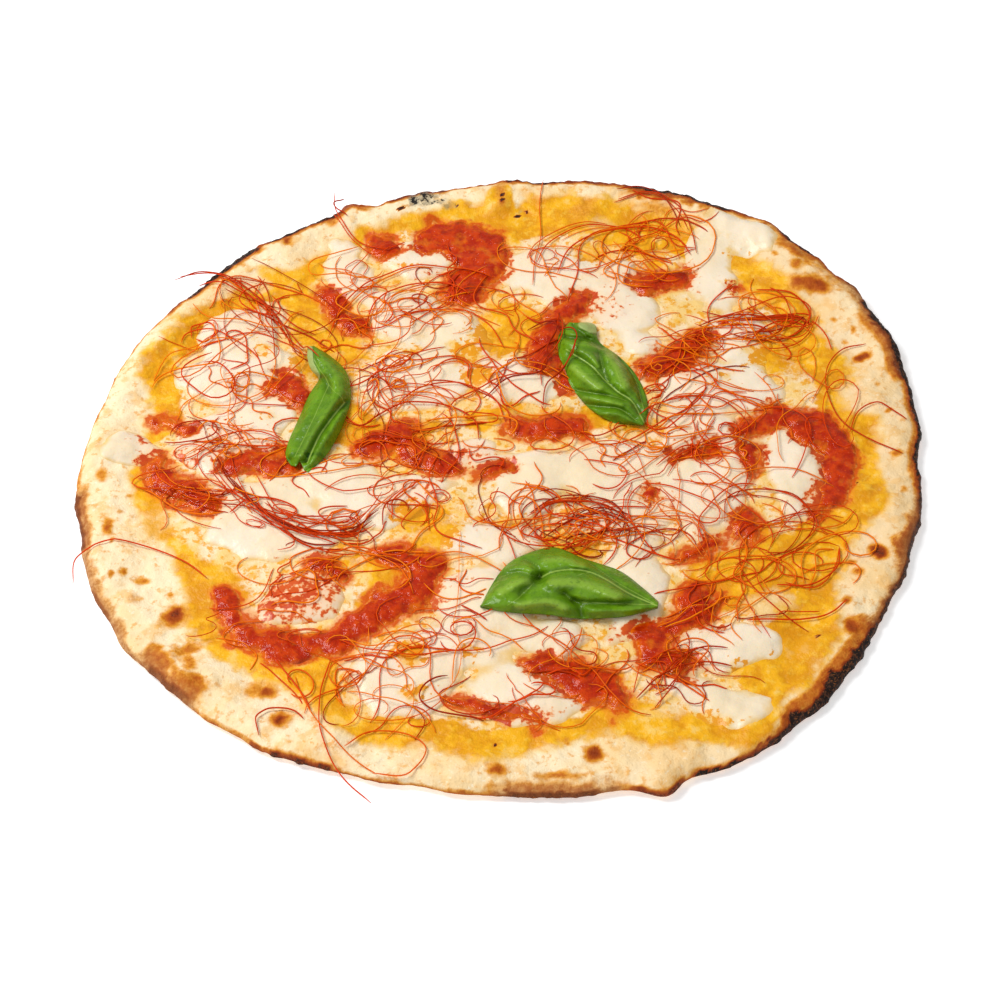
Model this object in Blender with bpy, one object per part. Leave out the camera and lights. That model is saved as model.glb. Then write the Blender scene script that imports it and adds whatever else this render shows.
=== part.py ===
# Margherita pizza, whole and uncut: a thin baked crust with a low uneven rim, melted
# mozzarella, patches of tomato sauce, three basil leaves and tangles of fine chilli threads.
# Metres, +Z up. The origin is the middle of the crust's underside, +Y points to the far side.

import math
import random

import bpy

MM = 0.001

# Crust, in mm. The outline is a circle with a few low waves: (waves round the rim, height, phase).
MEAN_RADIUS = 154.9
OUTLINE_WAVES = (
    (1, 2.5, 16),
    (2, 3.0, 48),
    (3, 2.4, 171),
    (4, 2.0, 134),
    (5, 0.9, 56),
    (6, 0.6, 13),
    (17, 0.5, 20),
    (29, 0.4, 75),
    (43, 0.3, 140),
)
# Small lobes and dips of the edge: (angle, reach, half width as an angle).
EDGE_NIBS = (
    (0.0, -2.2, 5.0),
    (21.0, 1.5, 4.0),
    (31.5, 3.0, 3.0),
    (38.0, 0.8, 2.4),
    (48.0, 3.6, 3.4),
    (60.0, 1.2, 5.0),
    (73.0, 2.2, 7.0),
    (85.0, 1.5, 6.0),
    (98.0, 2.0, 8.0),
    (113.0, 4.5, 1.7),
    (119.0, 2.0, 5.0),
    (133.0, 2.4, 4.5),
    (146.0, 0.9, 6.0),
    (158.0, 2.5, 4.5),
    (183.0, 2.0, 3.5),
    (191.0, -1.0, 2.2),
    (203.0, 1.2, 6.0),
    (243.0, 1.5, 4.0),
    (267.0, 1.6, 4.5),
    (289.0, 4.3, 2.3),
    (307.0, 0.8, 4.0),
    (334.0, 1.0, 5.0),
    (347.0, 1.5, 5.0),
)
MID_THICKNESS = 3.6
EDGE_HEIGHT = 1.9
RIM_CROWN = 6.0
RIM_CROWN_INSET = 7.0
RIM_WIDTH = 22.0
# The far right of the rim bends up off the surface below it: angle, height, half width.
LIFT_ANGLE = 48.0
LIFT_HEIGHT = 4.6
LIFT_SPREAD = 27.0
LIFT_REACH = 46.0
# Blisters and humps of the dough: (x, y, radius, height).
BLISTERS = (
    (139, 22, 11, 2.2),
    (132, -24, 10, 1.8),
    (-86, 106, 11, 2.0),
    (90, -77, 11, 1.8),
    (-101, -97, 10, 1.6),
    (-113, -104, 9, 2.6),
    (3, 139, 6, 2.0),
    (-128, 62, 12, 1.5),
    (-136, -38, 12, 1.6),
    (-62, -128, 13, 1.5),
    (34, 128, 15, 1.8),
    (118, 84, 12, 1.6),
    (112, -92, 12, 1.8),
    (52, -146, 8, 1.4),
    (-14, -144, 12, 1.2),
    (-30, 134, 9, 1.5),
)
TOP_EDGE_RINGS = ((0.0, 132), (1.6, 126), (4.2, 120), (8.5, 110), (14.0, 100), (20.5, 88))
INNER_RINGS = 12
INNER_RING_STEP = 10.5
UNDERSIDE_RINGS = ((1.2, 120), (5.0, 72), (13.0, 48), (40.0, 24), (100.0, 10))
UNDERSIDE_CURL = 13.0

# Melted mozzarella: ellipses that run together, (x, y, half length, half width, turn).
MOZZARELLA = (
    (-100, 40, 24, 15, 5),
    (-101, 62, 17, 17, 0),
    (-103, 4, 19, 16, 0),
    (-138, 2, 11, 7, 0),
    (-60, 97, 10, 18, 10),
    (-32, 106, 14, 12, 0),
    (-38, 73, 15, 14, 0),
    (-31, 39, 23, 19, 0),
    (-14, 58, 11, 14, 0),
    (18, 97, 20, 12, 0),
    (84, 90, 10, 22, 0),
    (99, 113, 17, 10, 125),
    (10, 36, 19, 15, 0),
    (50, 72, 13, 12, 0),
    (82, 29, 24, 13, 0),
    (100, 58, 13, 16, 0),
    (43, 90, 16, 12, 0),
    (26, 84, 12, 9, 0),
    (74, -12, 18, 33, 0),
    (107, -16, 10, 27, 0),
    (38, -12, 20, 14, 0),
    (9, -20, 14, 16, 0),
    (-35, -19, 17, 8, 0),
    (-62, -14, 15, 12, 0),
    (-84, -40, 25, 14, -10),
    (-72, -72, 15, 12, 20),
    (-3, -47, 17, 9, 0),
    (-8, -73, 19, 15, 0),
    (-18, -93, 15, 10, 0),
    (7, -116, 21, 12, -10),
    (-36, -107, 17, 18, 0),
    (80, -96, 20, 11, 0),
    (69, -124, 17, 13, 0),
    (44, -70, 14, 20, 0),
    (44, -40, 17, 15, 0),
    (96, -51, 13, 8, 0),
    (15, -92, 15, 8, 0),
    (-48, -31, 17, 8, 0),
    (-88, -22, 15, 8, 0),
    (-88, 18, 11, 9, 0),
)
MOZZARELLA_MEET = 6.0
MOZZARELLA_DEPTH = 2.2

# Tomato sauce: smears, each a run of (x, y, half width).
SAUCE = (
    ((-22, 116, 10), (-8, 112, 12), (-6, 98, 10), (-13, 86, 8)),
    ((-46, 112, 7.5),),
    ((-62, 71, 8.5), (-68, 86, 4)),
    ((60, 88, 8), (72, 89, 7)),
    ((78, 56, 6), (70, 46, 7.5), (58, 40, 4)),
    ((34, 78, 5), (20, 62, 6), (18, 46, 6), (24, 32, 5)),
    ((8, 9, 5.5), (28, 10, 6)),
    ((12, -6, 4.5), (-2, -20, 5)),
    ((-47, -4, 7), (-33, 8, 8), (-22, -8, 7)),
    ((-132, -4, 6), (-126, -16, 6.5), (-110, -24, 6)),
    ((-130, 16, 5), (-119, 12, 5)),
    ((-98, -7, 6), (-80, -6, 6)),
    ((-82, 34, 8.5), (-75, 27, 6)),
    ((-96, -72, 6), (-90, -88, 8), (-70, -92, 7.5), (-46, -82, 7), (-27, -66, 8), (-34, -54, 7)),
    ((-70, -60, 5), (-52, -62, 5)),
    ((14, -103, 5), (26, -108, 8), (37, -120, 9)),
    ((68, -70, 6), (72, -82, 7), (50, -94, 8), (60, -104, 6)),
    ((92, 7, 6), (104, 16, 6), (120, 9, 8), (126, -10, 9), (120, -28, 8), (110, -38, 5)),
    ((93, -4, 5), (94, -20, 4.5)),
    ((87, -40, 6), (76, -54, 5)),
    ((66, -6, 4), (79, -4, 4)),
    ((54, -25, 5),),
    ((0, -128, 4.5), (14, -129, 4.5)),
    ((95, 80, 3), (94, 88, 3)),
)
SAUCE_DEPTH = 1.5
SAUCE_LUMP = 0.8

# Both toppings share one plan lattice of triangles, and lie on the dough with a small gap.
LATTICE = 9.0
BED_GAP = 0.4
FILM_EDGE = 0.6
FILM_MARGIN = 5.0
CUT_LOW = 0.26
CUT_HIGH = 0.74
CUT_SHARED = 0.42
SMALLEST_FILM = 90.0

# Basil leaves: (x, y, half width) along the midrib, then height of the crown and of the lift.
BASIL = {
    "basil_leaf_1": {
        "spine": (
            (-71.5, 53.0, 2.0),
            (-67.5, 43.5, 5.0),
            (-62.5, 34.0, 7.8),
            (-62.5, 22.0, 9.2),
            (-67.0, 8.0, 9.0),
            (-72.0, -3.0, 7.4),
            (-76.0, -12.0, 3.2),
        ),
        "crown": 5.5,
        "lift": 3.0,
        "waves": 1.5,
    },
    "basil_leaf_2": {
        "spine": (
            (26.0, 62.5, 2.4),
            (30.5, 53.0, 8.2),
            (36.0, 43.0, 11.6),
            (41.0, 32.5, 12.4),
            (46.5, 20.0, 10.0),
            (52.5, 7.5, 1.6),
        ),
        "crown": 6.0,
        "lift": 1.5,
        "waves": 2.0,
    },
    "basil_leaf_3": {
        "spine": (
            (-8.5, -78.0, 0.9),
            (3.0, -71.0, 10.5),
            (15.0, -68.5, 16.2),
            (30.0, -70.5, 15.6),
            (43.0, -76.0, 9.2),
            (53.5, -80.5, 1.2),
        ),
        "crown": 8.0,
        "lift": 1.5,
        "waves": 1.5,
    },
}
LEAF_THICKNESS = 0.5
LEAF_STEPS = 10
LEAF_RIBS = 6

# Chilli threads: tangles, (x, y, half length, half width, turn, number of threads).
TANGLES = (
    (-97, 80, 32, 13, -38, 3),
    (-78, -33, 34, 10, -22, 3),
    (27, -38, 19, 11, 0, 3),
    (64, 102, 18, 15, 0, 3),
    (102, 58, 20, 11, -10, 3),
    (-36, 76, 19, 14, 0, 3),
    (-23, 6, 22, 18, 0, 3),
    (92, -70, 22, 12, 15, 2),
    (66, -108, 18, 12, 0, 2),
    (-45, -122, 21, 19, 0, 3),
    (88, -22, 20, 16, 0, 3),
    (-108, 22, 20, 19, 0, 3),
    (12, 62, 9, 15, 0, 2),
)
THREAD_WIDTH = 0.8
THREAD_STEPS = 8
THREAD_SIDES = 3
THREAD_GAP = 0.55
THREAD_CLEAR = 2.2
THREAD_SEED = 41
THREAD_TRIES = 60


def edge_radius(angle):
    """Plan radius of the crust in mm at an angle in radians."""
    radius = MEAN_RADIUS
    for waves, height, phase in OUTLINE_WAVES:
        radius += height * math.cos(waves * angle - math.radians(phase))
    for middle, reach, spread in EDGE_NIBS:
        off = turn_between(angle, math.radians(middle)) / math.radians(spread)
        radius += reach * math.exp(-off * off)
    return radius


def turn_between(angle, other):
    """Smallest turn from one angle to another, in radians."""
    return (angle - other + math.pi) % math.tau - math.pi


def ripple(x, y, length, phase=0.0):
    """Soft uneven ripple between about -1 and 1, with its bumps a length apart."""
    wave = math.tau / length
    total = math.sin(wave * x + 1.7 * math.sin(0.37 * wave * y + phase) + phase)
    total += math.sin(wave * (0.5 * x + 0.87 * y) + 1.3 * phase + 2.1)
    total += math.sin(wave * (0.5 * x - 0.87 * y) + 0.7 * phase + 4.4)
    return total / 3.0


def smooth(value):
    """Step from 0 to 1 with soft ends."""
    value = min(1.0, max(0.0, value))
    return value * value * (3.0 - 2.0 * value)


def rim_lift(angle, inset):
    """How far the rim has bent up, in mm."""
    off = turn_between(angle, math.radians(LIFT_ANGLE)) / math.radians(LIFT_SPREAD)
    return LIFT_HEIGHT * math.exp(-off * off) * smooth(1.0 - inset / LIFT_REACH)


def dough_top(x, y):
    """Height of the dough's top in mm, in the plan's own coordinates."""
    angle = math.atan2(y, x)
    inset = edge_radius(angle) - math.hypot(x, y)
    middle = MID_THICKNESS + 0.35 * ripple(x, y, 41.0) + 0.2 * ripple(x, y, 19.0, 2.0)
    crown = RIM_CROWN + 0.9 * math.sin(angle) + 0.8 * ripple(x, y, 47.0, 1.0)
    if inset < RIM_CROWN_INSET:
        short = (RIM_CROWN_INSET - max(0.0, inset)) / RIM_CROWN_INSET
        height = EDGE_HEIGHT + (crown - EDGE_HEIGHT) * math.sqrt(1.0 - short * short)
    else:
        fall = smooth((inset - RIM_CROWN_INSET) / (RIM_WIDTH - RIM_CROWN_INSET))
        height = crown + (middle - crown) * fall
    for bump_x, bump_y, radius, rise in BLISTERS:
        off = math.hypot(x - bump_x, y - bump_y) / radius
        height += rise * math.exp(-1.6 * off * off) * smooth(inset / 4.0)
    return height + rim_lift(angle, inset)


def dough_bottom(x, y):
    """Height of the dough's underside in mm: flat, curling up under the rim."""
    angle = math.atan2(y, x)
    inset = edge_radius(angle) - math.hypot(x, y)
    curl = max(0.0, 1.0 - inset / UNDERSIDE_CURL)
    return 1.1 * curl * curl + rim_lift(angle, inset)


def highest_dough(x, y, reach=2.6):
    """Highest dough close to a point, so that a flat facet laid there clears it."""
    heights = [dough_top(x, y)]
    for step in range(6):
        angle = step * math.tau / 6
        heights.append(dough_top(x + reach * math.cos(angle), y + reach * math.sin(angle)))
    return max(heights)


def outline_middle():
    """Middle of the crust's plan box, which becomes the origin."""
    xs = []
    ys = []
    count = TOP_EDGE_RINGS[0][1]
    for step in range(count):
        angle = step * math.tau / count
        xs.append(edge_radius(angle) * math.cos(angle))
        ys.append(edge_radius(angle) * math.sin(angle))
    return (min(xs) + max(xs)) / 2, (min(ys) + max(ys)) / 2


# The toppings were placed from a point this far from the middle of the crust's outline.
TOPPING_OFFSET = (0.0, 5.0)
MIDDLE = outline_middle()


def place(x, y, z):
    """A point of the crust's plan, in mm, as metres from the origin."""
    return ((x - MIDDLE[0]) * MM, (y - MIDDLE[1]) * MM, z * MM)


def remove_everything():
    for thing in list(bpy.data.objects):
        bpy.data.objects.remove(thing, do_unlink=True)


def make_material(name, colour, roughness):
    material = bpy.data.materials.new(name)
    material.use_nodes = True
    shader = material.node_tree.nodes["Principled BSDF"]
    shader.inputs["Base Color"].default_value = (*colour, 1.0)
    shader.inputs["Roughness"].default_value = roughness
    shader.inputs["Metallic"].default_value = 0.0
    material.diffuse_color = (*colour, 1.0)
    return material


def make_object(name, points, faces, material):
    mesh = bpy.data.meshes.new(name)
    mesh.from_pydata(points, [], faces)
    mesh.materials.append(material)
    mesh.shade_smooth()
    mesh.set_sharp_from_angle(angle=math.radians(40))
    thing = bpy.data.objects.new(name, mesh)
    bpy.context.scene.collection.objects.link(thing)
    return thing


def zip_rings(inner, outer):
    """Triangles between two closed rings, each a list of (angle, point number)."""
    faces = []
    i = 0
    j = 0
    while i < len(inner) or j < len(outer):
        here_in = inner[i % len(inner)][1]
        here_out = outer[j % len(outer)][1]
        outer_first = ring_angle(outer, j + 1) <= ring_angle(inner, i + 1)
        if j < len(outer) and (i == len(inner) or outer_first):
            faces.append((here_in, here_out, outer[(j + 1) % len(outer)][1]))
            j += 1
        else:
            faces.append((here_in, here_out, inner[(i + 1) % len(inner)][1]))
            i += 1
    return faces


def ring_angle(ring, step):
    """Angle of a ring's point, counted on past a full turn."""
    return ring[step % len(ring)][0] + math.tau * (step // len(ring))


def make_crust(material):
    points = []

    def ring(count, radius_at, height_at):
        members = []
        for step in range(count):
            angle = step * math.tau / count
            radius = radius_at(angle)
            x = radius * math.cos(angle)
            y = radius * math.sin(angle)
            members.append((angle, len(points)))
            points.append(place(x, y, height_at(x, y)))
        return members

    top = []
    for inset, count in TOP_EDGE_RINGS:
        top.append(ring(count, lambda angle, inset=inset: edge_radius(angle) - inset, dough_top))
    last_inset = TOP_EDGE_RINGS[-1][0]
    for step in range(1, INNER_RINGS):
        share = 1.0 - step / INNER_RINGS
        count = max(6, round(math.tau * (MEAN_RADIUS - last_inset) * share / INNER_RING_STEP))
        top.append(ring(
            count, lambda angle, share=share: (edge_radius(angle) - last_inset) * share, dough_top))
    bottom = []
    for inset, count in UNDERSIDE_RINGS:
        bottom.append(ring(
            count, lambda angle, inset=inset: edge_radius(angle) - inset, dough_bottom))

    faces = []
    for outer, inner in zip(top, top[1:]):
        faces += zip_rings(inner, outer)
    faces += [face[::-1] for face in zip_rings(bottom[0], top[0])]
    for outer, inner in zip(bottom, bottom[1:]):
        faces += [face[::-1] for face in zip_rings(inner, outer)]
    for rings, height_at, flip in ((top, dough_top, False), (bottom, dough_bottom, True)):
        hub = len(points)
        points.append(place(0.0, 0.0, height_at(0.0, 0.0)))
        last = rings[-1]
        for step in range(len(last)):
            face = (hub, last[step][1], last[(step + 1) % len(last)][1])
            faces.append(face[::-1] if flip else face)
    return make_object("crust", points, faces, material)


def in_plan(x, y):
    """A topping's place, in the crust's own plan."""
    return x + TOPPING_OFFSET[0], y + TOPPING_OFFSET[1]


def mozzarella_reach(x, y):
    """How far inside the melted mozzarella a point lies, in mm; negative outside."""
    total = 0.0
    for pool_x, pool_y, length, width, turn in MOZZARELLA:
        angle = math.radians(turn)
        mid_x, mid_y = in_plan(pool_x, pool_y)
        along = (x - mid_x) * math.cos(angle) + (y - mid_y) * math.sin(angle)
        across = (y - mid_y) * math.cos(angle) - (x - mid_x) * math.sin(angle)
        inside = (1.0 - math.hypot(along / length, across / width)) * min(length, width)
        total += math.exp(inside / MOZZARELLA_MEET * 2.0)
    return MOZZARELLA_MEET / 2.0 * math.log(total) + 0.8 * ripple(x, y, 23.0, 3.0)


def smear_reach(x, y, run):
    """How far inside one smear of sauce a point lies, in mm."""
    spots = [(*in_plan(spot[0], spot[1]), spot[2]) for spot in run]
    best = -math.inf
    for start, end in zip(spots, spots[1:] or spots):
        run_x = end[0] - start[0]
        run_y = end[1] - start[1]
        length = run_x * run_x + run_y * run_y
        share = 0.0
        if length > 0:
            share = ((x - start[0]) * run_x + (y - start[1]) * run_y) / length
            share = min(1.0, max(0.0, share))
        half_width = start[2] + (end[2] - start[2]) * share
        gap = math.hypot(x - start[0] - share * run_x, y - start[1] - share * run_y)
        best = max(best, half_width - gap)
    return best


def sauce_reach(x, y):
    """How far inside any smear of sauce a point lies, in mm."""
    return max(smear_reach(x, y, run) for run in SAUCE) + 0.6 * ripple(x, y, 15.0, 5.0)


def lattice_points():
    """Plan lattice of near-equal triangles: points by (column, row), and the triangles."""
    half = int(MEAN_RADIUS / LATTICE) + 1
    spots = {}
    for row in range(-half - 2, half + 3):
        for column in range(-half, half + 1):
            x = (column + 0.5 * (row % 2)) * LATTICE
            y = row * LATTICE * math.sqrt(3) / 2
            spots[column, row] = (x, y)
    triangles = []
    for column, row in spots:
        shift = row % 2
        right = (column + 1, row)
        upper_left = (column + shift - 1, row + 1)
        upper = (column + shift, row + 1)
        if right in spots and upper in spots:
            triangles.append(((column, row), right, upper))
        if upper_left in spots and upper in spots:
            triangles.append(((column, row), upper, upper_left))
    return spots, triangles


def cut_film(spots, triangles, inside, other):
    """Lattice triangles where inside > 0, cut along the edge: points by key, and faces."""
    corners = {}
    faces = []

    def cut_point(a, b):
        if inside[a] <= 0:
            a, b = b, a
        share = inside[a] / (inside[a] - inside[b])
        limit = CUT_SHARED if other[b] > 0 else CUT_HIGH
        share = min(limit, max(CUT_LOW, share))
        key = (a, b)
        x = spots[a][0] + (spots[b][0] - spots[a][0]) * share
        y = spots[a][1] + (spots[b][1] - spots[a][1]) * share
        corners[key] = (x, y, 0.0)
        return key

    for triangle in triangles:
        shape = []
        for step in range(3):
            a = triangle[step]
            b = triangle[(step + 1) % 3]
            if inside[a] > 0:
                corners[a] = (*spots[a], inside[a])
                shape.append(a)
            if (inside[a] > 0) != (inside[b] > 0):
                shape.append(cut_point(a, b))
        for step in range(1, len(shape) - 1):
            faces.append((shape[0], shape[step], shape[step + 1]))
    return corners, faces


def split_films(corners, faces):
    """Faces that hang together, as separate lists, the largest first; scraps are dropped."""
    owner = {key: key for key in corners}

    def root(key):
        while owner[key] != key:
            owner[key] = owner[owner[key]]
            key = owner[key]
        return key

    for face in faces:
        for key in face[1:]:
            owner[root(key)] = root(face[0])
    groups = {}
    for face in faces:
        groups.setdefault(root(face[0]), []).append(face)

    def area(group):
        total = 0.0
        for a, b, c in group:
            (ax, ay, _), (bx, by, _), (cx, cy, _) = corners[a], corners[b], corners[c]
            total += ((bx - ax) * (cy - ay) - (cx - ax) * (by - ay)) / 2
        return total

    kept = [group for group in groups.values() if area(group) > SMALLEST_FILM]
    return sorted(kept, key=area, reverse=True)


def film_solid(name, corners, faces, depth_at, material):
    """A closed film: its underside follows the dough, its top is domed from the edge."""
    order = {}
    for face in faces:
        for key in face:
            order.setdefault(key, len(order))
    low = []
    high = []
    for key in order:
        x, y, reach = corners[key]
        bed = highest_dough(x, y) + BED_GAP
        low.append(place(x, y, bed))
        high.append(place(x, y, bed + FILM_EDGE + depth_at(x, y, reach)))
    count = len(order)
    shell = []
    directed = set()
    for face in faces:
        a, b, c = (order[key] for key in face)
        shell.append((a + count, b + count, c + count))
        shell.append((a, c, b))
        directed.update(((a, b), (b, c), (c, a)))
    for a, b in sorted(directed):
        if (b, a) not in directed:
            shell.append((a, b, b + count))
            shell.append((a, b + count, a + count))
    return make_object(name, low + high, shell, material)


def mozzarella_depth(x, y, reach):
    swell = 1.0 - math.exp(-max(0.0, reach) / 5.0)
    return swell * (MOZZARELLA_DEPTH * (0.75 + 0.25 * ripple(x, y, 31.0, 4.0)))


def sauce_depth(x, y, reach):
    swell = 1.0 - math.exp(-max(0.0, reach) / 3.0)
    return swell * (SAUCE_DEPTH + SAUCE_LUMP * ripple(x, y, 13.0, 6.0))


def make_films(mozzarella_material, sauce_material):
    spots, triangles = lattice_points()
    sauce = {}
    mozzarella = {}
    for key, (x, y) in spots.items():
        edge = edge_radius(math.atan2(y, x)) - math.hypot(x, y) - FILM_MARGIN
        sauce[key] = min(sauce_reach(x, y), edge)
        mozzarella[key] = min(mozzarella_reach(x, y), edge, -0.5 - sauce[key])
    made = []
    kinds = (
        ("mozzarella", mozzarella, sauce, mozzarella_depth, mozzarella_material),
        ("tomato_sauce", sauce, mozzarella, sauce_depth, sauce_material),
    )
    for kind, inside, other, depth_at, material in kinds:
        corners, faces = cut_film(spots, triangles, inside, other)
        for number, group in enumerate(split_films(corners, faces), 1):
            name = f"{kind}_{number:02d}"
            made.append(film_solid(name, corners, group, depth_at, material))
    return made


def curve_point(spine, share):
    """Point on the smooth curve through a spine of tuples, for a share from 0 to 1."""
    place_on = share * (len(spine) - 1)
    first = min(int(place_on), len(spine) - 2)
    t = place_on - first
    before = spine[max(0, first - 1)]
    start = spine[first]
    end = spine[first + 1]
    after = spine[min(len(spine) - 1, first + 2)]
    values = []
    for p, a, b, n in zip(before, start, end, after):
        slope_a = (b - p) / 2
        slope_b = (n - a) / 2
        cubic = 2 * a - 2 * b + slope_a + slope_b
        square = 3 * b - 3 * a - 2 * slope_a - slope_b
        values.append(a + slope_a * t + square * t * t + cubic * t ** 3)
    return values


def topping_top(x, y):
    """Highest that dough, cheese and sauce reach close to a point, in mm."""
    reach = max(0.0, mozzarella_reach(x, y), sauce_reach(x, y))
    deepest = max(mozzarella_depth(x, y, reach), SAUCE_DEPTH + SAUCE_LUMP)
    return highest_dough(x, y, 4.0) + BED_GAP + FILM_EDGE + deepest


def make_leaf(name, leaf, material):
    """A thin wavy leaf, crowned along its midrib; both faces have the same triangles."""
    columns = []
    for step in range(LEAF_STEPS + 1):
        share = step / LEAF_STEPS
        x, y, half_width = curve_point(leaf["spine"], share)
        ahead = curve_point(leaf["spine"], min(1.0, share + 0.01))
        behind = curve_point(leaf["spine"], max(0.0, share - 0.01))
        heading = math.atan2(ahead[1] - behind[1], ahead[0] - behind[0])
        column = []
        for rib in range(LEAF_RIBS + 1):
            side = 2.0 * rib / LEAF_RIBS - 1.0
            out = side * max(0.8, half_width)
            px, py = in_plan(x - out * math.sin(heading), y + out * math.cos(heading))
            crown = leaf["crown"] * (1.0 - side * side) * math.sin(math.pi * (0.12 + 0.76 * share))
            groove = 0.8 * math.exp(-(side / 0.2) ** 2)
            wave = 0.7 * math.cos(math.tau * leaf["waves"] * share + 1.5 * side) * abs(side)
            end = leaf["lift"] * (1.0 - math.sin(math.pi * share))
            column.append((px, py, crown - groove + wave + end + 0.9))
        columns.append(column)
    floor = max(topping_top(px, py) - rise for column in columns for px, py, rise in column)
    points = []
    for lower in (0.0, LEAF_THICKNESS):
        for column in columns:
            for px, py, rise in column:
                points.append(place(px, py, floor + rise + lower + 0.3))
    across = LEAF_RIBS + 1
    total = across * (LEAF_STEPS + 1)
    faces = []
    directed = set()
    for step in range(LEAF_STEPS):
        for rib in range(LEAF_RIBS):
            a = step * across + rib
            b = a + across
            for corner in ((a, b, b + 1), (a, b + 1, a + 1)):
                faces.append(tuple(number + total for number in corner))
                faces.append(corner[::-1])
                directed.update(zip(corner, corner[1:] + corner[:1]))
    for a, b in sorted(directed):
        if (b, a) not in directed:
            faces.append((a, b, b + total))
            faces.append((a, b + total, a + total))
    return make_object(name, points, faces, material)


def leaf_gap(x, y):
    """Distance in mm from a point to the nearest leaf's outline, negative under it."""
    nearest = math.inf
    for leaf in BASIL.values():
        for step in range(LEAF_STEPS + 1):
            mid_x, mid_y, half_width = curve_point(leaf["spine"], step / LEAF_STEPS)
            mid_x, mid_y = in_plan(mid_x, mid_y)
            nearest = min(nearest, math.hypot(x - mid_x, y - mid_y) - half_width)
    return nearest


def draw_thread(tangle, draw):
    """Plan route of one thread: an arc that hooks or opens towards one end."""
    mid_x, mid_y, length, width, turn, _ = tangle
    mid_x, mid_y = in_plan(mid_x, mid_y)
    angle = math.radians(turn)
    along = draw.uniform(-0.45, 0.45) * length
    across = draw.uniform(-0.6, 0.6) * width
    x = mid_x + along * math.cos(angle) - across * math.sin(angle)
    y = mid_y + along * math.sin(angle) + across * math.cos(angle)
    heading = angle + draw.choice((0.0, math.pi)) + draw.gauss(0.0, 0.5 + 0.9 * width / length)
    reach = draw.uniform(0.9, 1.6) * length
    bend = draw.choice((-1, 1)) * draw.uniform(0.8, 2.6) / reach
    tighten = draw.uniform(-0.3, 1.0) * bend
    step = reach / THREAD_STEPS
    halves = []
    for side in (-1, 1):
        px, py, way = x, y, heading
        half = []
        for number in range(THREAD_STEPS // 2):
            way += side * step * (bend + tighten * side * number / THREAD_STEPS)
            px += side * step * math.cos(way)
            py += side * step * math.sin(way)
            half.append((px, py))
        halves.append(half)
    return halves[0][::-1] + [(x, y)] + halves[1]


def routes_cross(route, other):
    """Whether two plan routes cross, away from their ends."""
    for a, b in zip(route[1:-2], route[2:-1]):
        for c, d in zip(other[1:-2], other[2:-1]):
            side_c = (b[0] - a[0]) * (c[1] - a[1]) - (b[1] - a[1]) * (c[0] - a[0])
            side_d = (b[0] - a[0]) * (d[1] - a[1]) - (b[1] - a[1]) * (d[0] - a[0])
            side_a = (d[0] - c[0]) * (a[1] - c[1]) - (d[1] - c[1]) * (a[0] - c[0])
            side_b = (d[0] - c[0]) * (b[1] - c[1]) - (d[1] - c[1]) * (b[0] - c[0])
            if side_c * side_d < 0 and side_a * side_b < 0:
                return True
    return False


def closest_gap(route, others):
    """Smallest distance in mm between the points of a route and those of other routes."""
    nearest = math.inf
    for x, y in route:
        for other in others:
            for (ax, ay), (bx, by) in zip(other, other[1:]):
                length = (bx - ax) ** 2 + (by - ay) ** 2
                share = min(1.0, max(0.0, ((x - ax) * (bx - ax) + (y - ay) * (by - ay)) / length))
                gap = math.hypot(x - ax - share * (bx - ax), y - ay - share * (by - ay))
                nearest = min(nearest, gap)
    return nearest


def thread_routes():
    """Routes of every tangle: threads of one tangle cross, tangles keep clear of each other."""
    draw = random.Random(THREAD_SEED)
    tangles = []
    for tangle in TANGLES:
        taken = [route for routes in tangles for route in routes]
        routes = []
        for _ in range(THREAD_TRIES):
            if len(routes) == tangle[5]:
                break
            route = draw_thread(tangle, draw)
            if min(leaf_gap(x, y) for x, y in route) < THREAD_CLEAR:
                continue
            if max(math.hypot(x, y) for x, y in route) > MEAN_RADIUS - RIM_WIDTH / 2:
                continue
            if routes and not any(routes_cross(route, other) for other in routes):
                continue
            if taken and closest_gap(route, taken) < THREAD_CLEAR:
                continue
            if any(routes_cross(route, other) for other in taken):
                continue
            routes.append(route)
        tangles.append(routes)
    return tangles


def make_thread(name, route, spin, material):
    """A thread of few sides that lies on what is under it."""
    radius = THREAD_WIDTH / 2
    points = []
    last = len(route) - 1
    for number, (x, y) in enumerate(route):
        ahead = route[min(last, number + 1)]
        behind = route[max(0, number - 1)]
        heading = math.atan2(ahead[1] - behind[1], ahead[0] - behind[0])
        z = topping_top(x, y) + THREAD_GAP + radius
        for side in range(THREAD_SIDES):
            angle = spin + side * math.tau / THREAD_SIDES
            out = radius * math.cos(angle)
            points.append(place(
                x - out * math.sin(heading), y + out * math.cos(heading),
                z + radius * math.sin(angle)))
    faces = []
    for number in range(last):
        for side in range(THREAD_SIDES):
            a = number * THREAD_SIDES + side
            b = number * THREAD_SIDES + (side + 1) % THREAD_SIDES
            faces.append((a, b, b + THREAD_SIDES))
            faces.append((a, b + THREAD_SIDES, a + THREAD_SIDES))
    faces.append(tuple(range(THREAD_SIDES))[::-1])
    faces.append(tuple(last * THREAD_SIDES + side for side in range(THREAD_SIDES)))
    return make_object(name, points, faces, material)


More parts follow.
